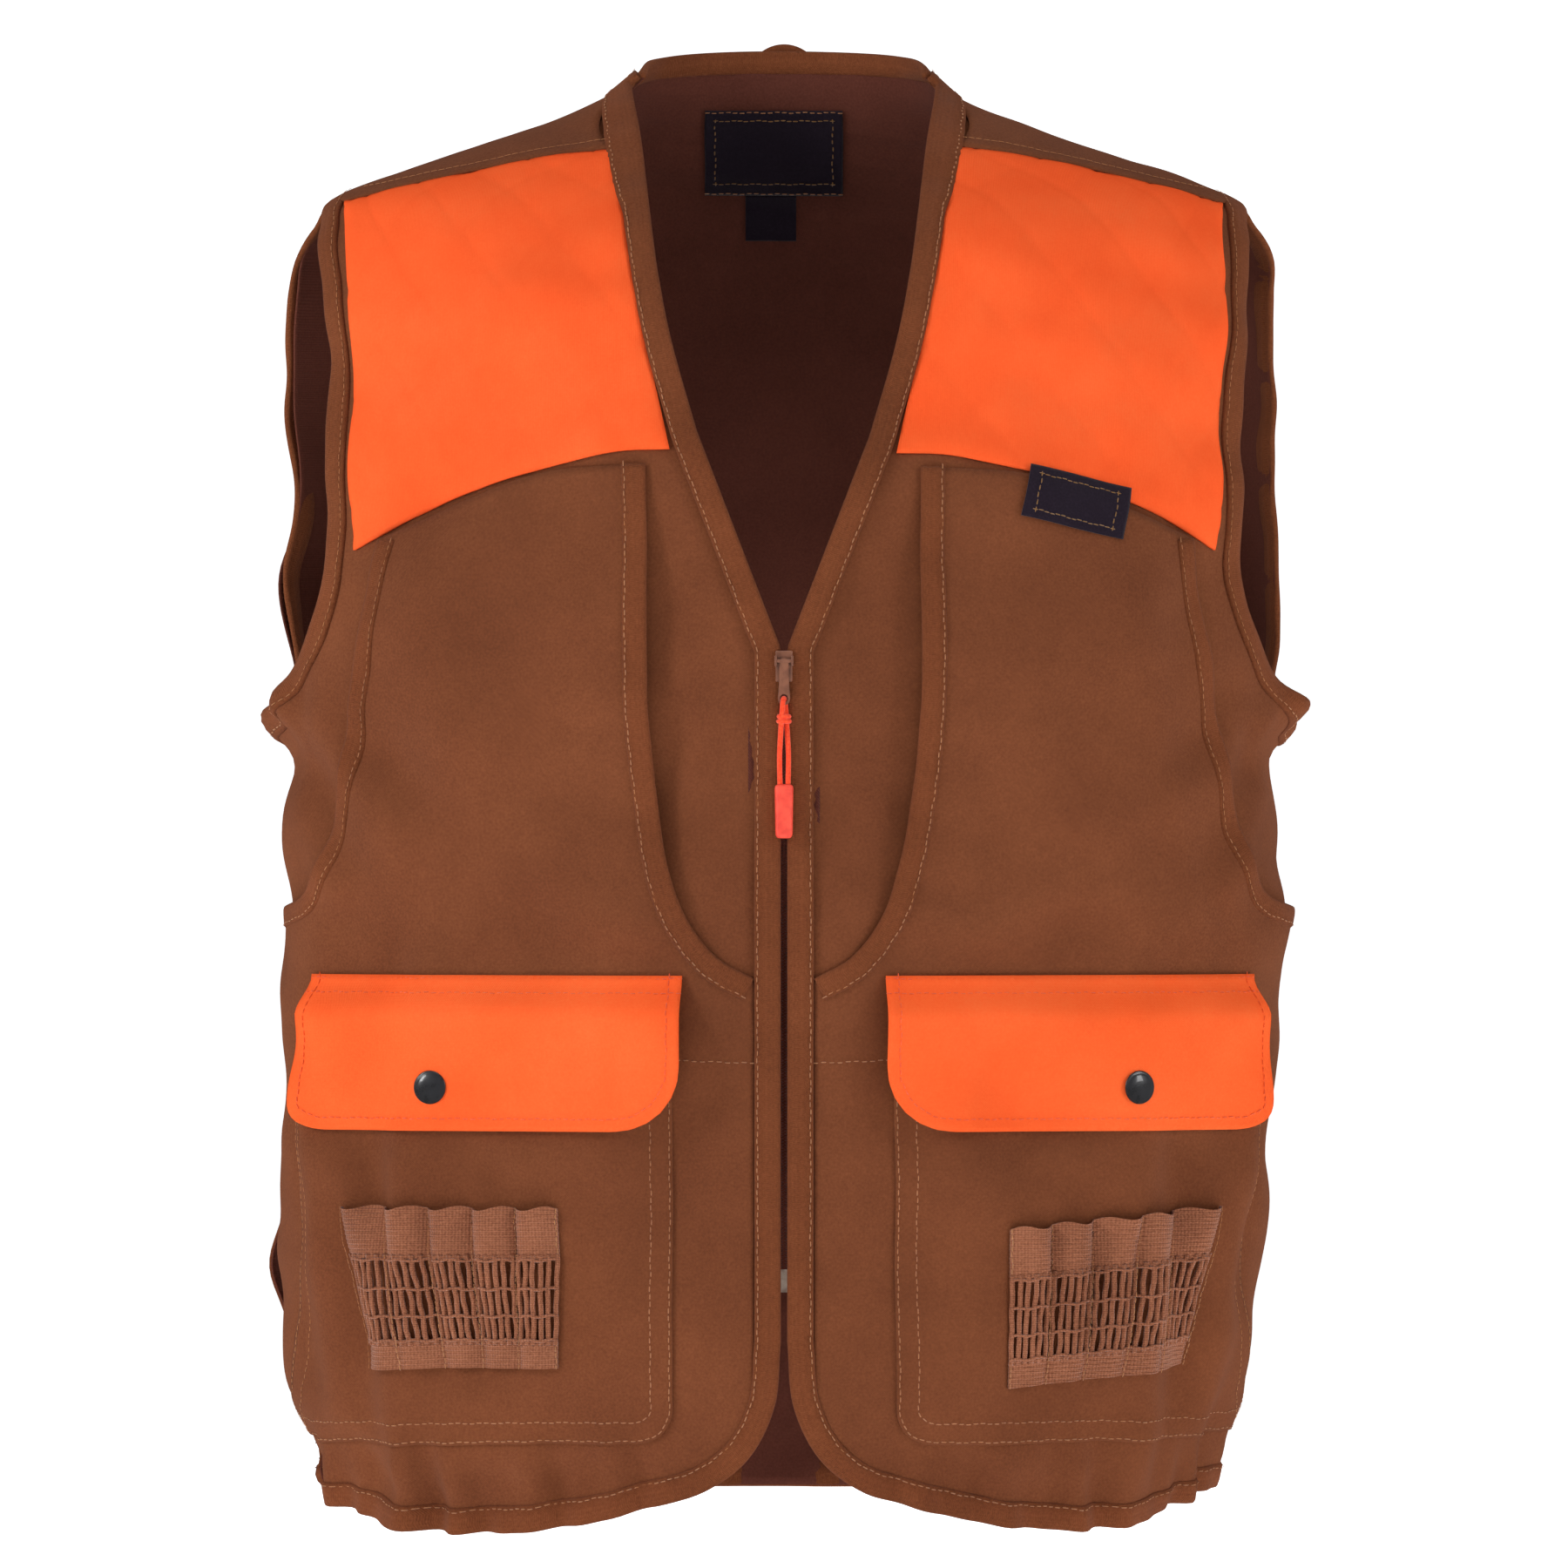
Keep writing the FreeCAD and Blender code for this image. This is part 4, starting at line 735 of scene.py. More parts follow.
def rounded_edges(x0, x1, z0, z1, inner, outer, off):
    """Left, right, bottom and top edges of a rectangle with round lower corners."""
    quarter = [math.radians(a) for a in range(0, 91, 15)]
    low_in = [(x0 + inner * (1 - math.cos(a)), z0 + inner * (1 - math.sin(a))) for a in quarter]
    low_out = [(x1 - outer * (1 - math.cos(a)), z0 + outer * (1 - math.sin(a))) for a in quarter]
    half = len(quarter) // 2
    left = on_cloth(low_in[half::-1], straight((x0, z0 + inner), (x0, z1)), off=off)
    right = on_cloth(low_out[half::-1], straight((x1, z0 + outer), (x1, z1)), off=off)
    bottom = on_cloth(low_in[half:], straight((x0 + inner, z0), (x1 - outer, z0)), low_out[:half - 1:-1],
                      off=off)
    top = on_cloth(straight((x0, z1), (x1, z1)), off=off)
    return left, right, bottom, top


def outline_of(edges):
    left, right, bottom, _ = edges
    return np.concatenate((left[::-1], bottom[1:], right[1:]))


def make_cargo_pocket(side, name):
    edges = rounded_edges(POCKET_IN, POCKET_OUT, POCKET_LOW, POCKET_TOP, 17, 12, 4)
    grid = patch(*edges, 0.0034)
    off = pocket_off(grid[..., 0], grid[..., 1])
    body = cloth("cargo_pocket_cloth_" + name, grid, off, 1.1, TWILL, side)
    on_front(body, name, "brown_twill", "cargo_pocket_" + name)
    lines = [beside(outline_of(edges), inset) for inset in (1.5, 10.5)]
    sew(name, "cargo_pocket_stitches", lines, above(pocket_off, 0.55), side, "brown_twill")


FLAP_IN, FLAP_OUT, FLAP_LOW, FLAP_SEWN = 51, 235, 193, 268


def flap_off(theta, z):
    """The flap leaves the panel at its sewn edge and lies over the full pocket below."""
    return 4.2 + 11.6 * ramp(z, 268, 247)


def make_flap(side, name):
    edges = rounded_edges(FLAP_IN, FLAP_OUT, FLAP_LOW, FLAP_SEWN, 32, 13, 15)
    grid = patch(*edges, 0.0030)
    seam = edge_distance(False, *grid.shape[:2])
    off = flap_off(grid[..., 0], grid[..., 1]) - 0.35 * np.exp(-((seam - 2.4) / 0.9) ** 2)
    flap = cloth("pocket_flap_cloth_" + name, grid, off, 1.3, ORANGE_FLAP, side)
    across = [straight((FLAP_IN + 1, FLAP_SEWN - low), (FLAP_OUT - 1, FLAP_SEWN - low)) for low in (1.5, 8.5)]
    lines = [beside(outline_of(edges), 6.0)] + [on_cloth(line, off=15) for line in across]
    rows = stitches("pocket_flap_stitches_" + name, lines, above(flap_off, 0.62), ORANGE_THREAD, side)
    for obj in (flap, rows):
        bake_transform(obj)
    settle(flap, None, "orange_cloth", "pocket_flap_" + name, "flap_header_" + name)
    settle(rows, None, "orange_cloth")


def lathe(name, profile, material, segments=48):
    """A turned piece about +Z from (radius, height) pairs in millimetres."""
    turns = [2 * math.pi * k / segments for k in range(segments)]
    vertices = [(radius * math.cos(a) * MM, radius * math.sin(a) * MM, height * MM)
                for radius, height in profile for a in turns]
    return new_object(name, np.array(vertices), tube_faces(len(profile), segments), material)


def make_snap(side, name):
    low, high = corners("snap_cap_" + name)
    level = ((low.z + high.z) / 2 - HEM) / MM
    theta = angle_at(abs(low.x + high.x) / 2 / MM, level, 18) * side
    spots = [Vector(point(theta + a * 0.02, level + b * 3, flap_off(theta, level) + 1.3))
             for a, b in ((0, 0), (1, 0), (0, 1))]
    centre = spots[0]
    outward = (spots[1] - centre).cross(spots[2] - centre).normalized()
    profile = ((7.0, -0.9), (7.9, -0.8), (8.1, -0.3), (7.9, 0.2), (7.2, 0.35), (6.9, 0.3), (6.6, 0.5),
               (5.4, 0.95), (3.6, 1.25), (1.6, 1.38), (0.3, 1.4))
    cap = lathe("snap_cap_dome_" + name, profile, SNAP)
    cap.matrix_world = Matrix.Translation(centre) @ outward.to_track_quat("Z", "Y").to_matrix().to_4x4()
    settle(cap, "flap_" + name, "snap_black", "snap_cap_" + name)


LOOPS_IN, LOOPS_OUT, LOOPS_LOW, LOOPS_TOP = 112, 214, 80, 156
LOOP_COUNT = 5


def make_shell_loops(side, name):
    """Elastic sewn down between loops: ribbed bands above and below three rows of ladder cords."""
    tilt, drop = (0.10, 10) if side > 0 else (0.0, 0)

    def place(x, z):
        lean = 11 * (x - LOOPS_IN) / (LOOPS_OUT - LOOPS_IN) * (LOOPS_TOP - z) / (LOOPS_TOP - LOOPS_LOW)
        level = z - drop + tilt * (x - LOOPS_IN)
        return np.arcsin((x - lean) / (section(level)[0] + 14)), level

    def loop_off(x, z):
        theta, level = place(x, z)
        phase = (x - LOOPS_IN) / (LOOPS_OUT - LOOPS_IN) * LOOP_COUNT
        part = phase - np.floor(phase)
        arch = np.abs(np.sin(math.pi * part ** 1.5)) ** 0.6
        full = 0.45 + 0.55 * ramp(z, LOOPS_LOW + 6, LOOPS_TOP)
        return pocket_off(theta, level) + 1.6 + 6.8 * arch * full

    def strip(label, z0, z1, rib):
        x = np.linspace(LOOPS_IN, LOOPS_OUT, 150)
        z = np.linspace(z0, z1, max(12, int((z1 - z0) / 0.45)))
        grid_x, grid_z = np.meshgrid(x, z)
        edge = 1.1 * np.sin((grid_x - LOOPS_IN) / (LOOPS_OUT - LOOPS_IN) * LOOP_COUNT * 2 * math.pi)
        shift = edge * ramp(grid_z, (z0 + z1) / 2, z1) if z1 > LOOPS_TOP - 2 else 0 * edge
        theta, level = place(grid_x, grid_z + shift)
        off = loop_off(grid_x, grid_z) + rib * np.sin(grid_z * 2 * math.pi / 2.1)
        return cloth(label, np.stack((theta, level), -1), off, 1.1, ELASTIC, side)

    top = strip("shell_loops_upper_" + name, 132, LOOPS_TOP, 0.28)
    low = strip("shell_loops_lower_" + name, LOOPS_LOW, 93, 0.28)
    vertices, faces = [], []

    def rod(points_xz, radius, lift):
        ring = 6
        base = len(vertices)
        count = len(points_xz)
        for index, (x, z) in enumerate(points_xz):
            theta, level = place(x, z)
            off = float(loop_off(x, z)) + lift
            here = Vector(point(theta * side, level, off))
            follow = points_xz[min(index + 1, count - 1)]
            before = points_xz[max(index - 1, 0)]
            a, b = (Vector(point(place(*p)[0] * side, place(*p)[1], float(loop_off(*p)) + lift))
                    for p in (before, follow))
            along = (b - a).normalized()
            out = Vector((math.sin(theta) * side, -math.cos(theta), 0))
            sideways = along.cross(out).normalized()
            for k in range(ring):
                angle = 2 * math.pi * k / ring
                vertices.append(here + (sideways * math.cos(angle) + out * math.sin(angle)) * radius * MM)
        faces.extend(tube_faces(count, ring, base, True))

    bars = 29
    for index in range(bars):
        x = LOOPS_IN + 1.2 + (LOOPS_OUT - LOOPS_IN - 2.4) * index / (bars - 1)
        clump = 0.22 * (1 if index % 2 else -1)
        pinch = [(x + clump * math.sin(math.pi * k * 3 / 18) ** 2 + 0.2 * math.sin(index * 2.3 + k),
                  91 + 43 * k / 18) for k in range(19)]
        rod(pinch, 1.42, 0.0)
    for level in (93.5, 105, 118, 131.5):
        rod([(LOOPS_IN + (LOOPS_OUT - LOOPS_IN) * k / 60, level + 0.5 * math.sin(k * 0.9))
             for k in range(61)], 0.7, 1.3)
    ladder = new_object("shell_loops_ladder_" + name, np.array([tuple(v) for v in vertices]), faces, ELASTIC,
                        np.array([(v[0], v[2]) for v in vertices]))
    for obj in (top, low, ladder):
        on_front(obj, name, "elastic_webbing", "shell_loops_" + name)
    seams = []
    for k in range(LOOP_COUNT + 1):
        x = LOOPS_IN + 0.8 + (LOOPS_OUT - LOOPS_IN - 1.6) * k / LOOP_COUNT
        z = np.linspace(LOOPS_LOW + 1, LOOPS_TOP - 1, 20)
        theta, level = place(np.full(20, x), z)
        seams.append(np.stack((theta, level), -1))

    def over(theta, z):
        x = (section(z)[0] + 14) * np.sin(theta)
        return loop_off(x, z + drop - tilt * (x - LOOPS_IN)) + 0.7

    sew(name, "shell_loop_stitches", seams, over, side, "elastic_webbing", 2.6)


# ------------------------------------------------------------------ the back

def back_armhole():
    z = np.linspace(ARMHOLE_LOW, ARMHOLE_TOP, 40)
    f = (z - ARMHOLE_LOW) / (ARMHOLE_TOP - ARMHOLE_LOW)
    y = SEAM_Y + 15 * np.sin(math.pi * f) ** 0.8
    return np.array([(angle_at_y(yy, zz), zz) for yy, zz in zip(y, z)])


def mirrored_line(line):
    return np.stack((2 * math.pi - line[:, 0], line[:, 1]), -1)


def round_back(z, count, inset=0.0):
    """Angles across the back between the side seams at level z, and how far across each is."""
    first = float(seam_angle(z)) + inset
    theta = np.linspace(first, 2 * math.pi - first, count)
    return theta, (theta - theta[0]) / (theta[-1] - theta[0])


def hem_back_line():
    theta, f = round_back(HEM_SIDE, 60)
    return np.stack((theta, HEM_SIDE - 6 * np.sin(f * math.pi)), -1)


def neck_line():
    theta, f = round_back(NECK_SIDE, 60)
    return np.stack((theta, 705 + 15 * np.sin(f * math.pi) ** 0.6), -1)


def make_back():
    left = np.concatenate((side_line(HEM_SIDE, ARMHOLE_LOW), back_armhole()[1:],
                           side_line(ARMHOLE_TOP, NECK_SIDE)[1:]))
    grid = patch(left, mirrored_line(left), hem_back_line(), neck_line(), 0.0045)
    back = cloth("back_panel_cloth", grid, 0.6, 1.0, SHADE_DARKENED_LINING)
    # The outer faces take the twill; the inner faces and rim keep the lining, whose darker brown is painted
    # shade.
    back.data.materials.append(TWILL)
    outer = (grid.shape[0] - 1) * (grid.shape[1] - 1)
    back.data.polygons.foreach_set("material_index", [int(i < outer) for i in range(len(back.data.polygons))])
    settle(back, "back", "brown_twill", "back_panel")
    hem = binding("back_hem_tape", hem_back_line(), 12, 1.8, 1.6, TAPE)
    settle(hem, "back", "binding_tape", "back_hem_binding")
    neck = binding("neck_tape", neck_line(), 11, 1.0, 1.7, TAPE, left=False)
    settle(neck, "back", "binding_tape", "neck_binding")
    lines = [beside(hem_back_line(), 10.4), beside(neck_line(), -9.4)]
    settle(stitches("back_edge_stitches", lines, 3.6, THREAD), "back", "binding_tape")
    for side, name in SIDES:
        line = back_armhole()
        tape = binding("armhole_back_tape_" + name, line, 11, 1.5, 1.6, TAPE, side, left=False, pucker=0.15)
        settle(tape, "back", "binding_tape", "armhole_binding_back_" + name)
        rows = stitches("armhole_back_stitches_" + name, [beside(line, -9.4)], 3.2, THREAD, side)
        settle(rows, "back", "binding_tape")


BAG_LOW, BAG_BAND, BAG_TOP = 30, 216, 299


def bag_off(theta, z):
    """The game bag hangs full at the middle of the back and flat at its sides."""
    spread = np.clip((np.cos(math.pi - theta) - 0.16) / 0.84, 0, 1) ** 0.8
    return 1.9 + 1.4 * ramp(spread, 0, 0.1) + 17 * spread * ramp(z, BAG_LOW, 130)


def make_game_bag():
    def wall(name, low, high, material, slot, node):
        theta = round_back(200, 150, 0.01)[0]
        z = np.linspace(low, high, max(12, int((high - low) / 4)))
        grid = np.stack(np.meshgrid(theta, z), -1)
        obj = cloth(name, grid, bag_off(grid[..., 0], grid[..., 1]), 1.1, material)
        settle(obj, "back", slot, node)

    def levels(*heights):
        theta = round_back(200, 120, 0.012)[0]
        return [np.stack((theta, np.full_like(theta, z)), -1) for z in heights]

    wall("game_bag_cloth", BAG_LOW, BAG_BAND, TWILL, "brown_twill", "game_bag")
    wall("game_bag_band_cloth", BAG_BAND, BAG_TOP, ORANGE_FLAP, "orange_cloth", "game_bag_band")
    rim = binding("game_bag_tape", levels(BAG_TOP)[0], 10.5, bag_off, 1.7, TAPE, left=False)
    settle(rim, "back", "binding_tape", "game_bag_binding")
    lines = levels(BAG_BAND + 3, BAG_BAND - 4, BAG_LOW + 4, BAG_LOW + 11)
    settle(stitches("game_bag_stitches", lines, above(bag_off, 0.6), THREAD), "back", "brown_twill")
    rows = stitches("game_bag_tape_stitches", levels(BAG_TOP - 9), above(bag_off, 1.75), THREAD)
    settle(rows, "back", "binding_tape")


def chest_label_off(theta, z):
    """The chest label waves a little above the front panel."""
    return panel_off(theta, z) + 2.2 + 0.6 * np.sin((section(z)[0] * np.sin(theta) - 110) / 9)


def make_labels():
    """Neck label and size tab inside the back, chest label under the left patch."""
    def extent(node):
        low, high = corners(node)
        return low.x / MM, high.x / MM, (low.z - HEM) / MM, (high.z - HEM) / MM

    def inside(x, z):
        return np.stack((math.pi - np.arcsin(x / section(z)[0]), z), -1)

    def level(x0, z0, x1, z1):
        return inside(np.linspace(x0, x1, 20), np.linspace(z0, z1, 20))

    for node in ("neck_label", "size_tab"):
        x0, x1, z0, z1 = extent(node)
        grid = inside(*np.meshgrid(np.linspace(x0, x1, 44), np.linspace(z0, z1, 26)))
        settle(cloth(node + "_cloth", grid[:, ::-1], -1.1, 0.7, LABEL), "back", "label_satin", node)

    x0, x1, z0, z1 = extent("neck_label")
    a, b, c, d = x0 + 5, x1 - 5, z0 + 6, z1 - 5
    frame_lines = [level(a, c, b, c), level(b, c, b, d), level(b, d, a, d), level(a, d, a, c)]
    rows = stitches("neck_label_border", frame_lines, -2.0, GOLD_THREAD, pitch=2.9)
    settle(rows, "back", "label_satin")
    edge_lines = [level(x0 + 1, z1 - 1, x1 - 1, z1 - 1), level(x0 + 1, z0 + 1, x1 - 1, z0 + 1)]
    rows = stitches("neck_label_stitches", edge_lines, -1.9, THREAD, pitch=3.2)
    settle(rows, "back", "label_satin")

    x, z = np.meshgrid(np.linspace(117, 164, 36), np.linspace(0, 1, 20))
    top = 513 - (x - 117) * 0.24
    z = top - 25 * (1 - z)
    x = x - (top - z) * 0.22
    grid = np.stack((np.arcsin(x / section(z)[0]), z), -1)
    chest = cloth("chest_label_cloth", grid, chest_label_off(grid[..., 0], z), 0.7, LABEL)
    on_front(chest, "left", "label_satin", "chest_label")
    inner = grid[3:-3, 4:-4]
    ring = [inner[0], inner[:, -1], inner[-1][::-1], inner[:, 0][::-1]]
    rows = stitches("chest_label_border", ring, above(chest_label_off, 0.36), GOLD_THREAD, pitch=2.6)
    on_front(rows, "left", "label_satin")


# ------------------------------------------------------------------ zipper and pull

def rounded_box(name, low, high, bevel, material, segments=4):
    """A block with rounded edges between two corners, in metres."""
    shape = bmesh.new()
    bmesh.ops.create_cube(shape, size=1)
    low, high = Vector(low), Vector(high)
    for vertex in shape.verts:
        vertex.co = Vector([(low[i] + high[i]) / 2 + vertex.co[i] * (high[i] - low[i]) for i in range(3)])
    bmesh.ops.bevel(shape, geom=list(shape.edges), offset=bevel, segments=segments, affect="EDGES",
                    profile=0.6)
    return from_bmesh(name, shape, material)


def join(name, objects):
    """Merge several blocks into one piece."""
    shape = bmesh.new()
    for obj in objects:
        shape.from_mesh(obj.data)
    result = from_bmesh(name, shape, objects[0].data.materials[0])
    for obj in objects:
        bpy.data.objects.remove(obj)
    return result


COIL_PITCH = 0.0015  # distance between the zipper's coil elements, in metres
PLAY = Vector((0.0006, 0.0006, 0))  # how far pin and retainer box reach round their solids


def make_zipper():
    """Tapes, rows of coil elements, pin and retainer box."""
    for side, name in SIDES:
        low, high = corners("zipper_tape_" + name)
        x, z = np.meshgrid(np.linspace(low.x, high.x, 8), np.linspace(low.z, high.z, 120))
        y = (low.y + high.y) / 2 + 0.0001 * np.sin(z * 900)
        outer = np.stack((x, y - 0.0003, z), -1).reshape(-1, 3)
        inner = outer + np.array((0, 0.0006, 0))
        uv = np.stack((x, z), -1).reshape(-1, 2)
        tape = new_object("zipper_tape_cloth_" + name, np.concatenate((outer, inner)), sheet_faces(120, 8),
                          ZIP_TAPE, np.concatenate((uv, uv)))
        settle(tape, "front_" + name, "zipper_tape", "zipper_tape_" + name)
        low, high = corners("zipper_chain_" + name)
        size, middle = high - low, (low + high) / 2
        shape = bmesh.new()
        for index in range(int(size.z / COIL_PITCH)):
            level = low.z + (index + (0.75 if side < 0 else 0.25)) * COIL_PITCH
            matrix = (Matrix.Translation((middle.x, middle.y, level))
                      @ Matrix.Diagonal((size.x, size.y, 0.0010, 1)))
            bmesh.ops.create_icosphere(shape, subdivisions=1, radius=0.52, matrix=matrix)
        coil = from_bmesh("zipper_coil_" + name, shape, COIL)
        settle(coil, "front_" + name, "zipper_coil", "zipper_chain_" + name)
    for node, body in (("insertion_pin", "front_left"), ("retainer_box", "front_right")):
        low, high = corners(node)
        obj = rounded_box(node + "_metal", low - PLAY, high + PLAY, 0.0005, STOP)
        settle(obj, body, "zipper_stop", node)


def make_slider():
    """Slider with a shouldered front plate, crown and cheeks; its bar's level comes from pull_tab."""
    low, high = corners("zipper_slider")
    tab_low, tab_high = corners("pull_tab")
    bar_y, bar_z = (tab_low.y + tab_high.y) / 2, high.z - 0.005

    def block(name, start, end, bevel):
        return rounded_box(name, start, end, bevel, ENAMEL)

    plate = block("plate", (low.x, bar_y + 0.0016, low.z), (high.x, bar_y + 0.0034, high.z), 0.0008)
    for vertex in plate.data.vertices:
        f = (vertex.co.z - low.z) / (high.z - low.z)
        vertex.co.x *= 0.80 + 0.20 * math.sin(f * math.pi * 0.75 + 0.35) ** 2
    parts = [plate,
             block("rear", (low.x * 0.8, high.y - 0.0014, high.z - 0.0045), (high.x * 0.8, high.y, high.z),
                   0.0005),
             block("post", (-0.0002, bar_y + 0.002, high.z - 0.0020), (0.0018, high.y - 0.0002, high.z),
                   0.0004),
             block("pin", (-0.0046, bar_y - 0.0009, bar_z - 0.0009), (0.0046, bar_y + 0.0009, bar_z + 0.0009),
                   0.0007)]
    for x0, x1 in ((-0.0046, -0.0034), (0.0034, 0.0046)):
        parts.append(block("cheek", (x0, low.y, bar_z - 0.0026), (x1, bar_y + 0.002, bar_z + 0.0026), 0.0006))
    settle(join("zipper_slider_body", parts), "zip_slider", "slider_enamel", "zipper_slider")
    return bar_y


def make_tab(bar_y):
    """The pull tab's blade: a waisted plate with an eye at its lower end."""
    tab_low, tab_high = corners("pull_tab")
    half, thick, ring, nose = 0.0031, 0.00065, 40, 0.0042
    length, eye = tab_high.z - tab_low.z, tab_low.z + 0.0031
    outer, hole = [], []
    for k in range(ring):
        angle = math.tau * k / ring
        x, z = math.sin(angle), -math.cos(angle)
        height = tab_low.z + nose + (nose if z < 0 else length - nose) * z
        waist = 1 - 0.18 * max(0.0, math.sin((height - tab_low.z) / length * math.pi)) ** 2
        outer.append((half * math.copysign(abs(x) ** 0.55, x) * waist, height))
        hole.append((0.0018 * x, eye + 0.0019 * z))
    shape = bmesh.new()
    (front_out, front_hole), (back_out, back_hole) = (
        [[shape.verts.new((x, y, z)) for x, z in loop] for loop in (outer, hole)]
        for y in (bar_y - thick, bar_y + thick))
    for k in range(ring):
        n = (k + 1) % ring
        shape.faces.new((front_out[k], front_out[n], front_hole[n], front_hole[k]))
        shape.faces.new((back_out[n], back_out[k], back_hole[k], back_hole[n]))
        shape.faces.new((front_out[n], front_out[k], back_out[k], back_out[n]))
        shape.faces.new((front_hole[k], front_hole[n], back_hole[n], back_hole[k]))
    bmesh.ops.recalc_face_normals(shape, faces=shape.faces)
    rim = [e for e in shape.edges if len(e.link_faces) == 2 and e.calc_face_angle(0) > 1.0]
    bmesh.ops.bevel(shape, geom=rim, offset=0.00025, segments=2, affect="EDGES")
    settle(from_bmesh("pull_tab_blade", shape, ENAMEL, False), "pull_tab", "slider_enamel", "pull_tab")


def make_collar(bar_y, level, wide):
    """One turn of whipping round both strands of the cord."""
    shape = bmesh.new()
    rings, tube = 24, 8
    rows = [[shape.verts.new((math.cos(a) * (wide - 0.0010 + 0.0012 * math.cos(b)),
                              bar_y + math.sin(a) * (wide + 0.0002 + 0.0012 * math.cos(b)) * 0.8,
                              level + 0.0012 * math.sin(b)))
             for b in (math.tau * t / tube for t in range(tube))]
            for a in (math.tau * r / rings for r in range(rings))]
    for r in range(rings):
        this, after = rows[r], rows[(r + 1) % rings]
        for t in range(tube):
            n = (t + 1) % tube
            shape.faces.new((this[t], after[t], after[n], this[n]))
    bmesh.ops.recalc_face_normals(shape, faces=shape.faces)
    return from_bmesh("collar", shape, CORD)


def make_pull(bar_y):
    """Braided cord looped through the tab, its collar, and the moulded grip."""
    low, high = corners("pull_grip")
    strand = [(-1.9, 0, 0), (-2.3, -0.3, 12), (-1.8, -0.6, 21), (-1.0, -2.45, 34.1), (-0.5, -2.45, 39.9)]
    route = strand + [(0.0, 0, 41.5)] + [(-x, -y, z) for x, y, z in strand[::-1]]
    curve = bpy.data.curves.new("pull_cord_braid", "CURVE")
    curve.dimensions = "3D"
    spline = curve.splines.new("NURBS")
    spline.points.add(len(route) - 1)
    for spot, (x, y, z) in zip(spline.points, route):
        spot.co = (x * MM, bar_y + y * MM, high.z + z * MM, 1)
    spline.order_u = 3
    spline.use_endpoint_u = True
    spline.resolution_u = 12
    curve.bevel_depth = 0.0013
    curve.bevel_resolution = 4
    cord = add_piece("pull_cord_braid", curve, CORD, False)
    settle(cord, "zip_pull", "pull_cord", "pull_cord")
    grip = rounded_box("pull_grip_moulding", low, high, 0.0024, GRIP, 6)
    for vertex in grip.data.vertices:
        f = (vertex.co.z - low.z) / (high.z - low.z)
        pinch = 1 - 0.10 * math.exp(-((f - 0.52) / 0.22) ** 2)
        vertex.co.x *= pinch * (0.86 + 0.14 * min(1, f * 5))
    settle(grip, "zip_pull", "pull_grip", "pull_grip")
    turns = [make_collar(bar_y, high.z + up, wide) for up, wide in ((0.0325, 0.0034), (0.0302, 0.0036))]
    collar = join("pull_cord_collar", turns)
    settle(collar, "zip_pull", "pull_cord")


def make_hanger():
    low, high = corners("hanger_loop")
    centre_y = (low.y + high.y) / 2
    radius = (high.x - low.x) / 2 - 0.0015
    rows, vertices = 40, []
    ring = ((-0.0034, -0.0012), (0.0012, -0.0014), (0.0015, 0.0), (0.0012, 0.0014), (-0.0034, 0.0012),
            (-0.0037, 0.0))
    for k in range(rows):
        angle = math.pi * k / (rows - 1)
        for out, deep in ring:
            reach = radius + out
            vertices.append((math.cos(angle) * reach, centre_y + deep * (0.5 + 0.1 * math.sin(angle * 3)),
                             low.z + 0.0006 + math.sin(angle) * reach))
    uv = np.array([(v[0], v[2]) for v in vertices])
    loop = new_object("hanger_loop_tape", np.array(vertices), tube_faces(rows, len(ring)), TAPE, uv)
    settle(loop, "back", "binding_tape", "hanger_loop")


def dress_cad():
    """Finishes for the nodes that stay as they are."""
    for name in ("snap_socket_left", "snap_socket_right", "snap_stud_left", "snap_stud_right"):
        obj = bpy.data.objects[name]
        obj.data.materials.clear()
        obj.data.materials.append(METAL)


# ------------------------------------------------------------------ light, floor, camera

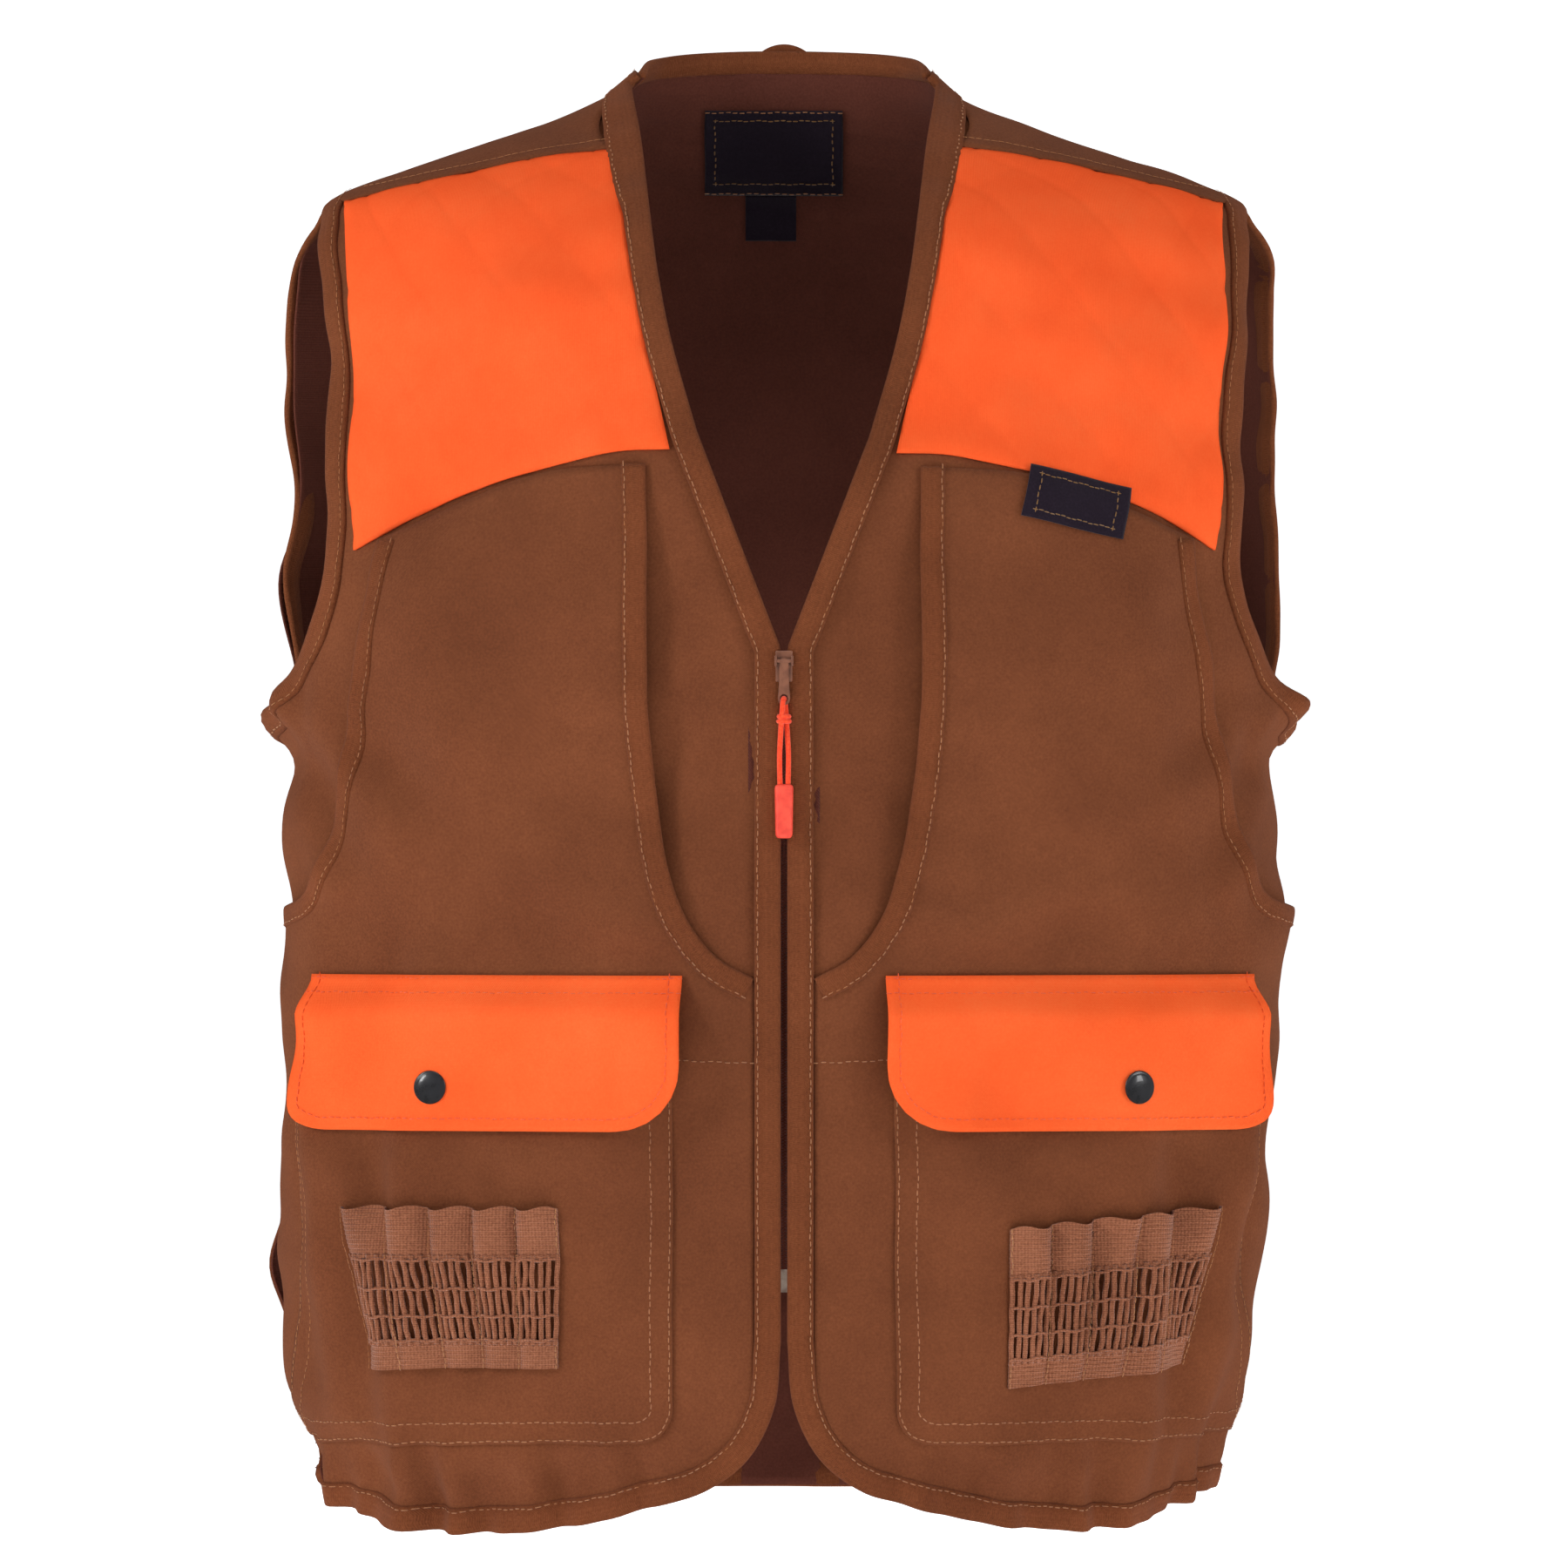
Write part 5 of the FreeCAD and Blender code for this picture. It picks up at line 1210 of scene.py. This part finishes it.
def plain_stage():
    """A round pale floor that lights the vest a little, inside a wide white bowl that doesn't."""
    material, _, _, shader = blank("pale_floor", 0.9)
    shader.inputs["Base Color"].default_value = (0.93, 0.93, 0.93, 1)
    shader.inputs["Emission Color"].default_value = (1, 1, 1, 1)
    shader.inputs["Emission Strength"].default_value = 0.80
    turns = [math.tau * k / 96 for k in range(97)]
    floor = [[(r * math.cos(a), r * math.sin(a), -0.80) for a in turns] for r in (0, 2, 6, 12)]
    bowl = [[(r * math.cos(a), r * math.sin(a), z) for a in turns] for r, z in
            ((0, -0.82), (6, -0.81), (12, -0.805), (14, -0.4), (15, 1.2), (15, 9), (10, 14), (0, 16))]
    for name, rings in (("floor", floor), ("backdrop", bowl)):
        points = np.array(rings, float)
        obj = new_object(name, points.reshape(-1, 3), grid_faces(*points.shape[:2]), material)
        obj.visible_glossy = False
        obj.visible_diffuse = name == "floor"


def area_light(name, place, aim, size, power):
    data = bpy.data.lights.new(name, "AREA")
    data.shape = "RECTANGLE"
    data.size, data.size_y = size
    data.energy = power
    obj = bpy.data.objects.new(name, data)
    obj.location = place
    obj.rotation_euler = (Vector(aim) - Vector(place)).to_track_quat("-Z", "Y").to_euler()
    bpy.context.scene.collection.objects.link(obj)


def make_light_and_camera():
    scene = bpy.context.scene
    scene.view_settings.view_transform = "Standard"
    world = bpy.data.worlds.new("studio")
    scene.world = world
    world.use_nodes = True
    world.node_tree.nodes["Background"].inputs[0].default_value = (1, 1, 1, 1)
    world.node_tree.nodes["Background"].inputs[1].default_value = 0.25
    middle = (0, 0, -0.35)
    area_light("key", (-2.7, -1.6, 0.9), middle, (0.8, 1.4), 46)
    area_light("fill", (2.7, -1.7, 0.6), middle, (0.8, 1.4), 25)
    area_light("top", (0, -1.2, 2.6), middle, (1.6, 1.0), 12)
    area_light("back", (0.6, 3.0, 1.3), middle, (3.0, 2.2), 48)
    camera_data = bpy.data.cameras.new("camera")
    distance, width, plane = 9.0, 0.756, -0.10
    camera_data.sensor_width = 36
    camera_data.lens = 36 * distance / width
    camera = bpy.data.objects.new("camera", camera_data)
    camera.location = (0, plane - distance, HEM + 0.360)
    camera.rotation_euler = (math.radians(90), 0, 0)
    scene.collection.objects.link(camera)
    scene.camera = camera


make_light_and_camera()
plain_stage()
for side_sign, side_name in SIDES:
    make_front(side_sign, side_name)
    make_shoulder(side_sign, side_name)
    make_front_panel(side_sign, side_name)
    make_cargo_pocket(side_sign, side_name)
    make_flap(side_sign, side_name)
    make_snap(side_sign, side_name)
    make_shell_loops(side_sign, side_name)
make_back()
make_game_bag()
make_labels()
make_zipper()
tab_y = make_slider()
make_tab(tab_y)
make_pull(tab_y)
make_hanger()
dress_cad()
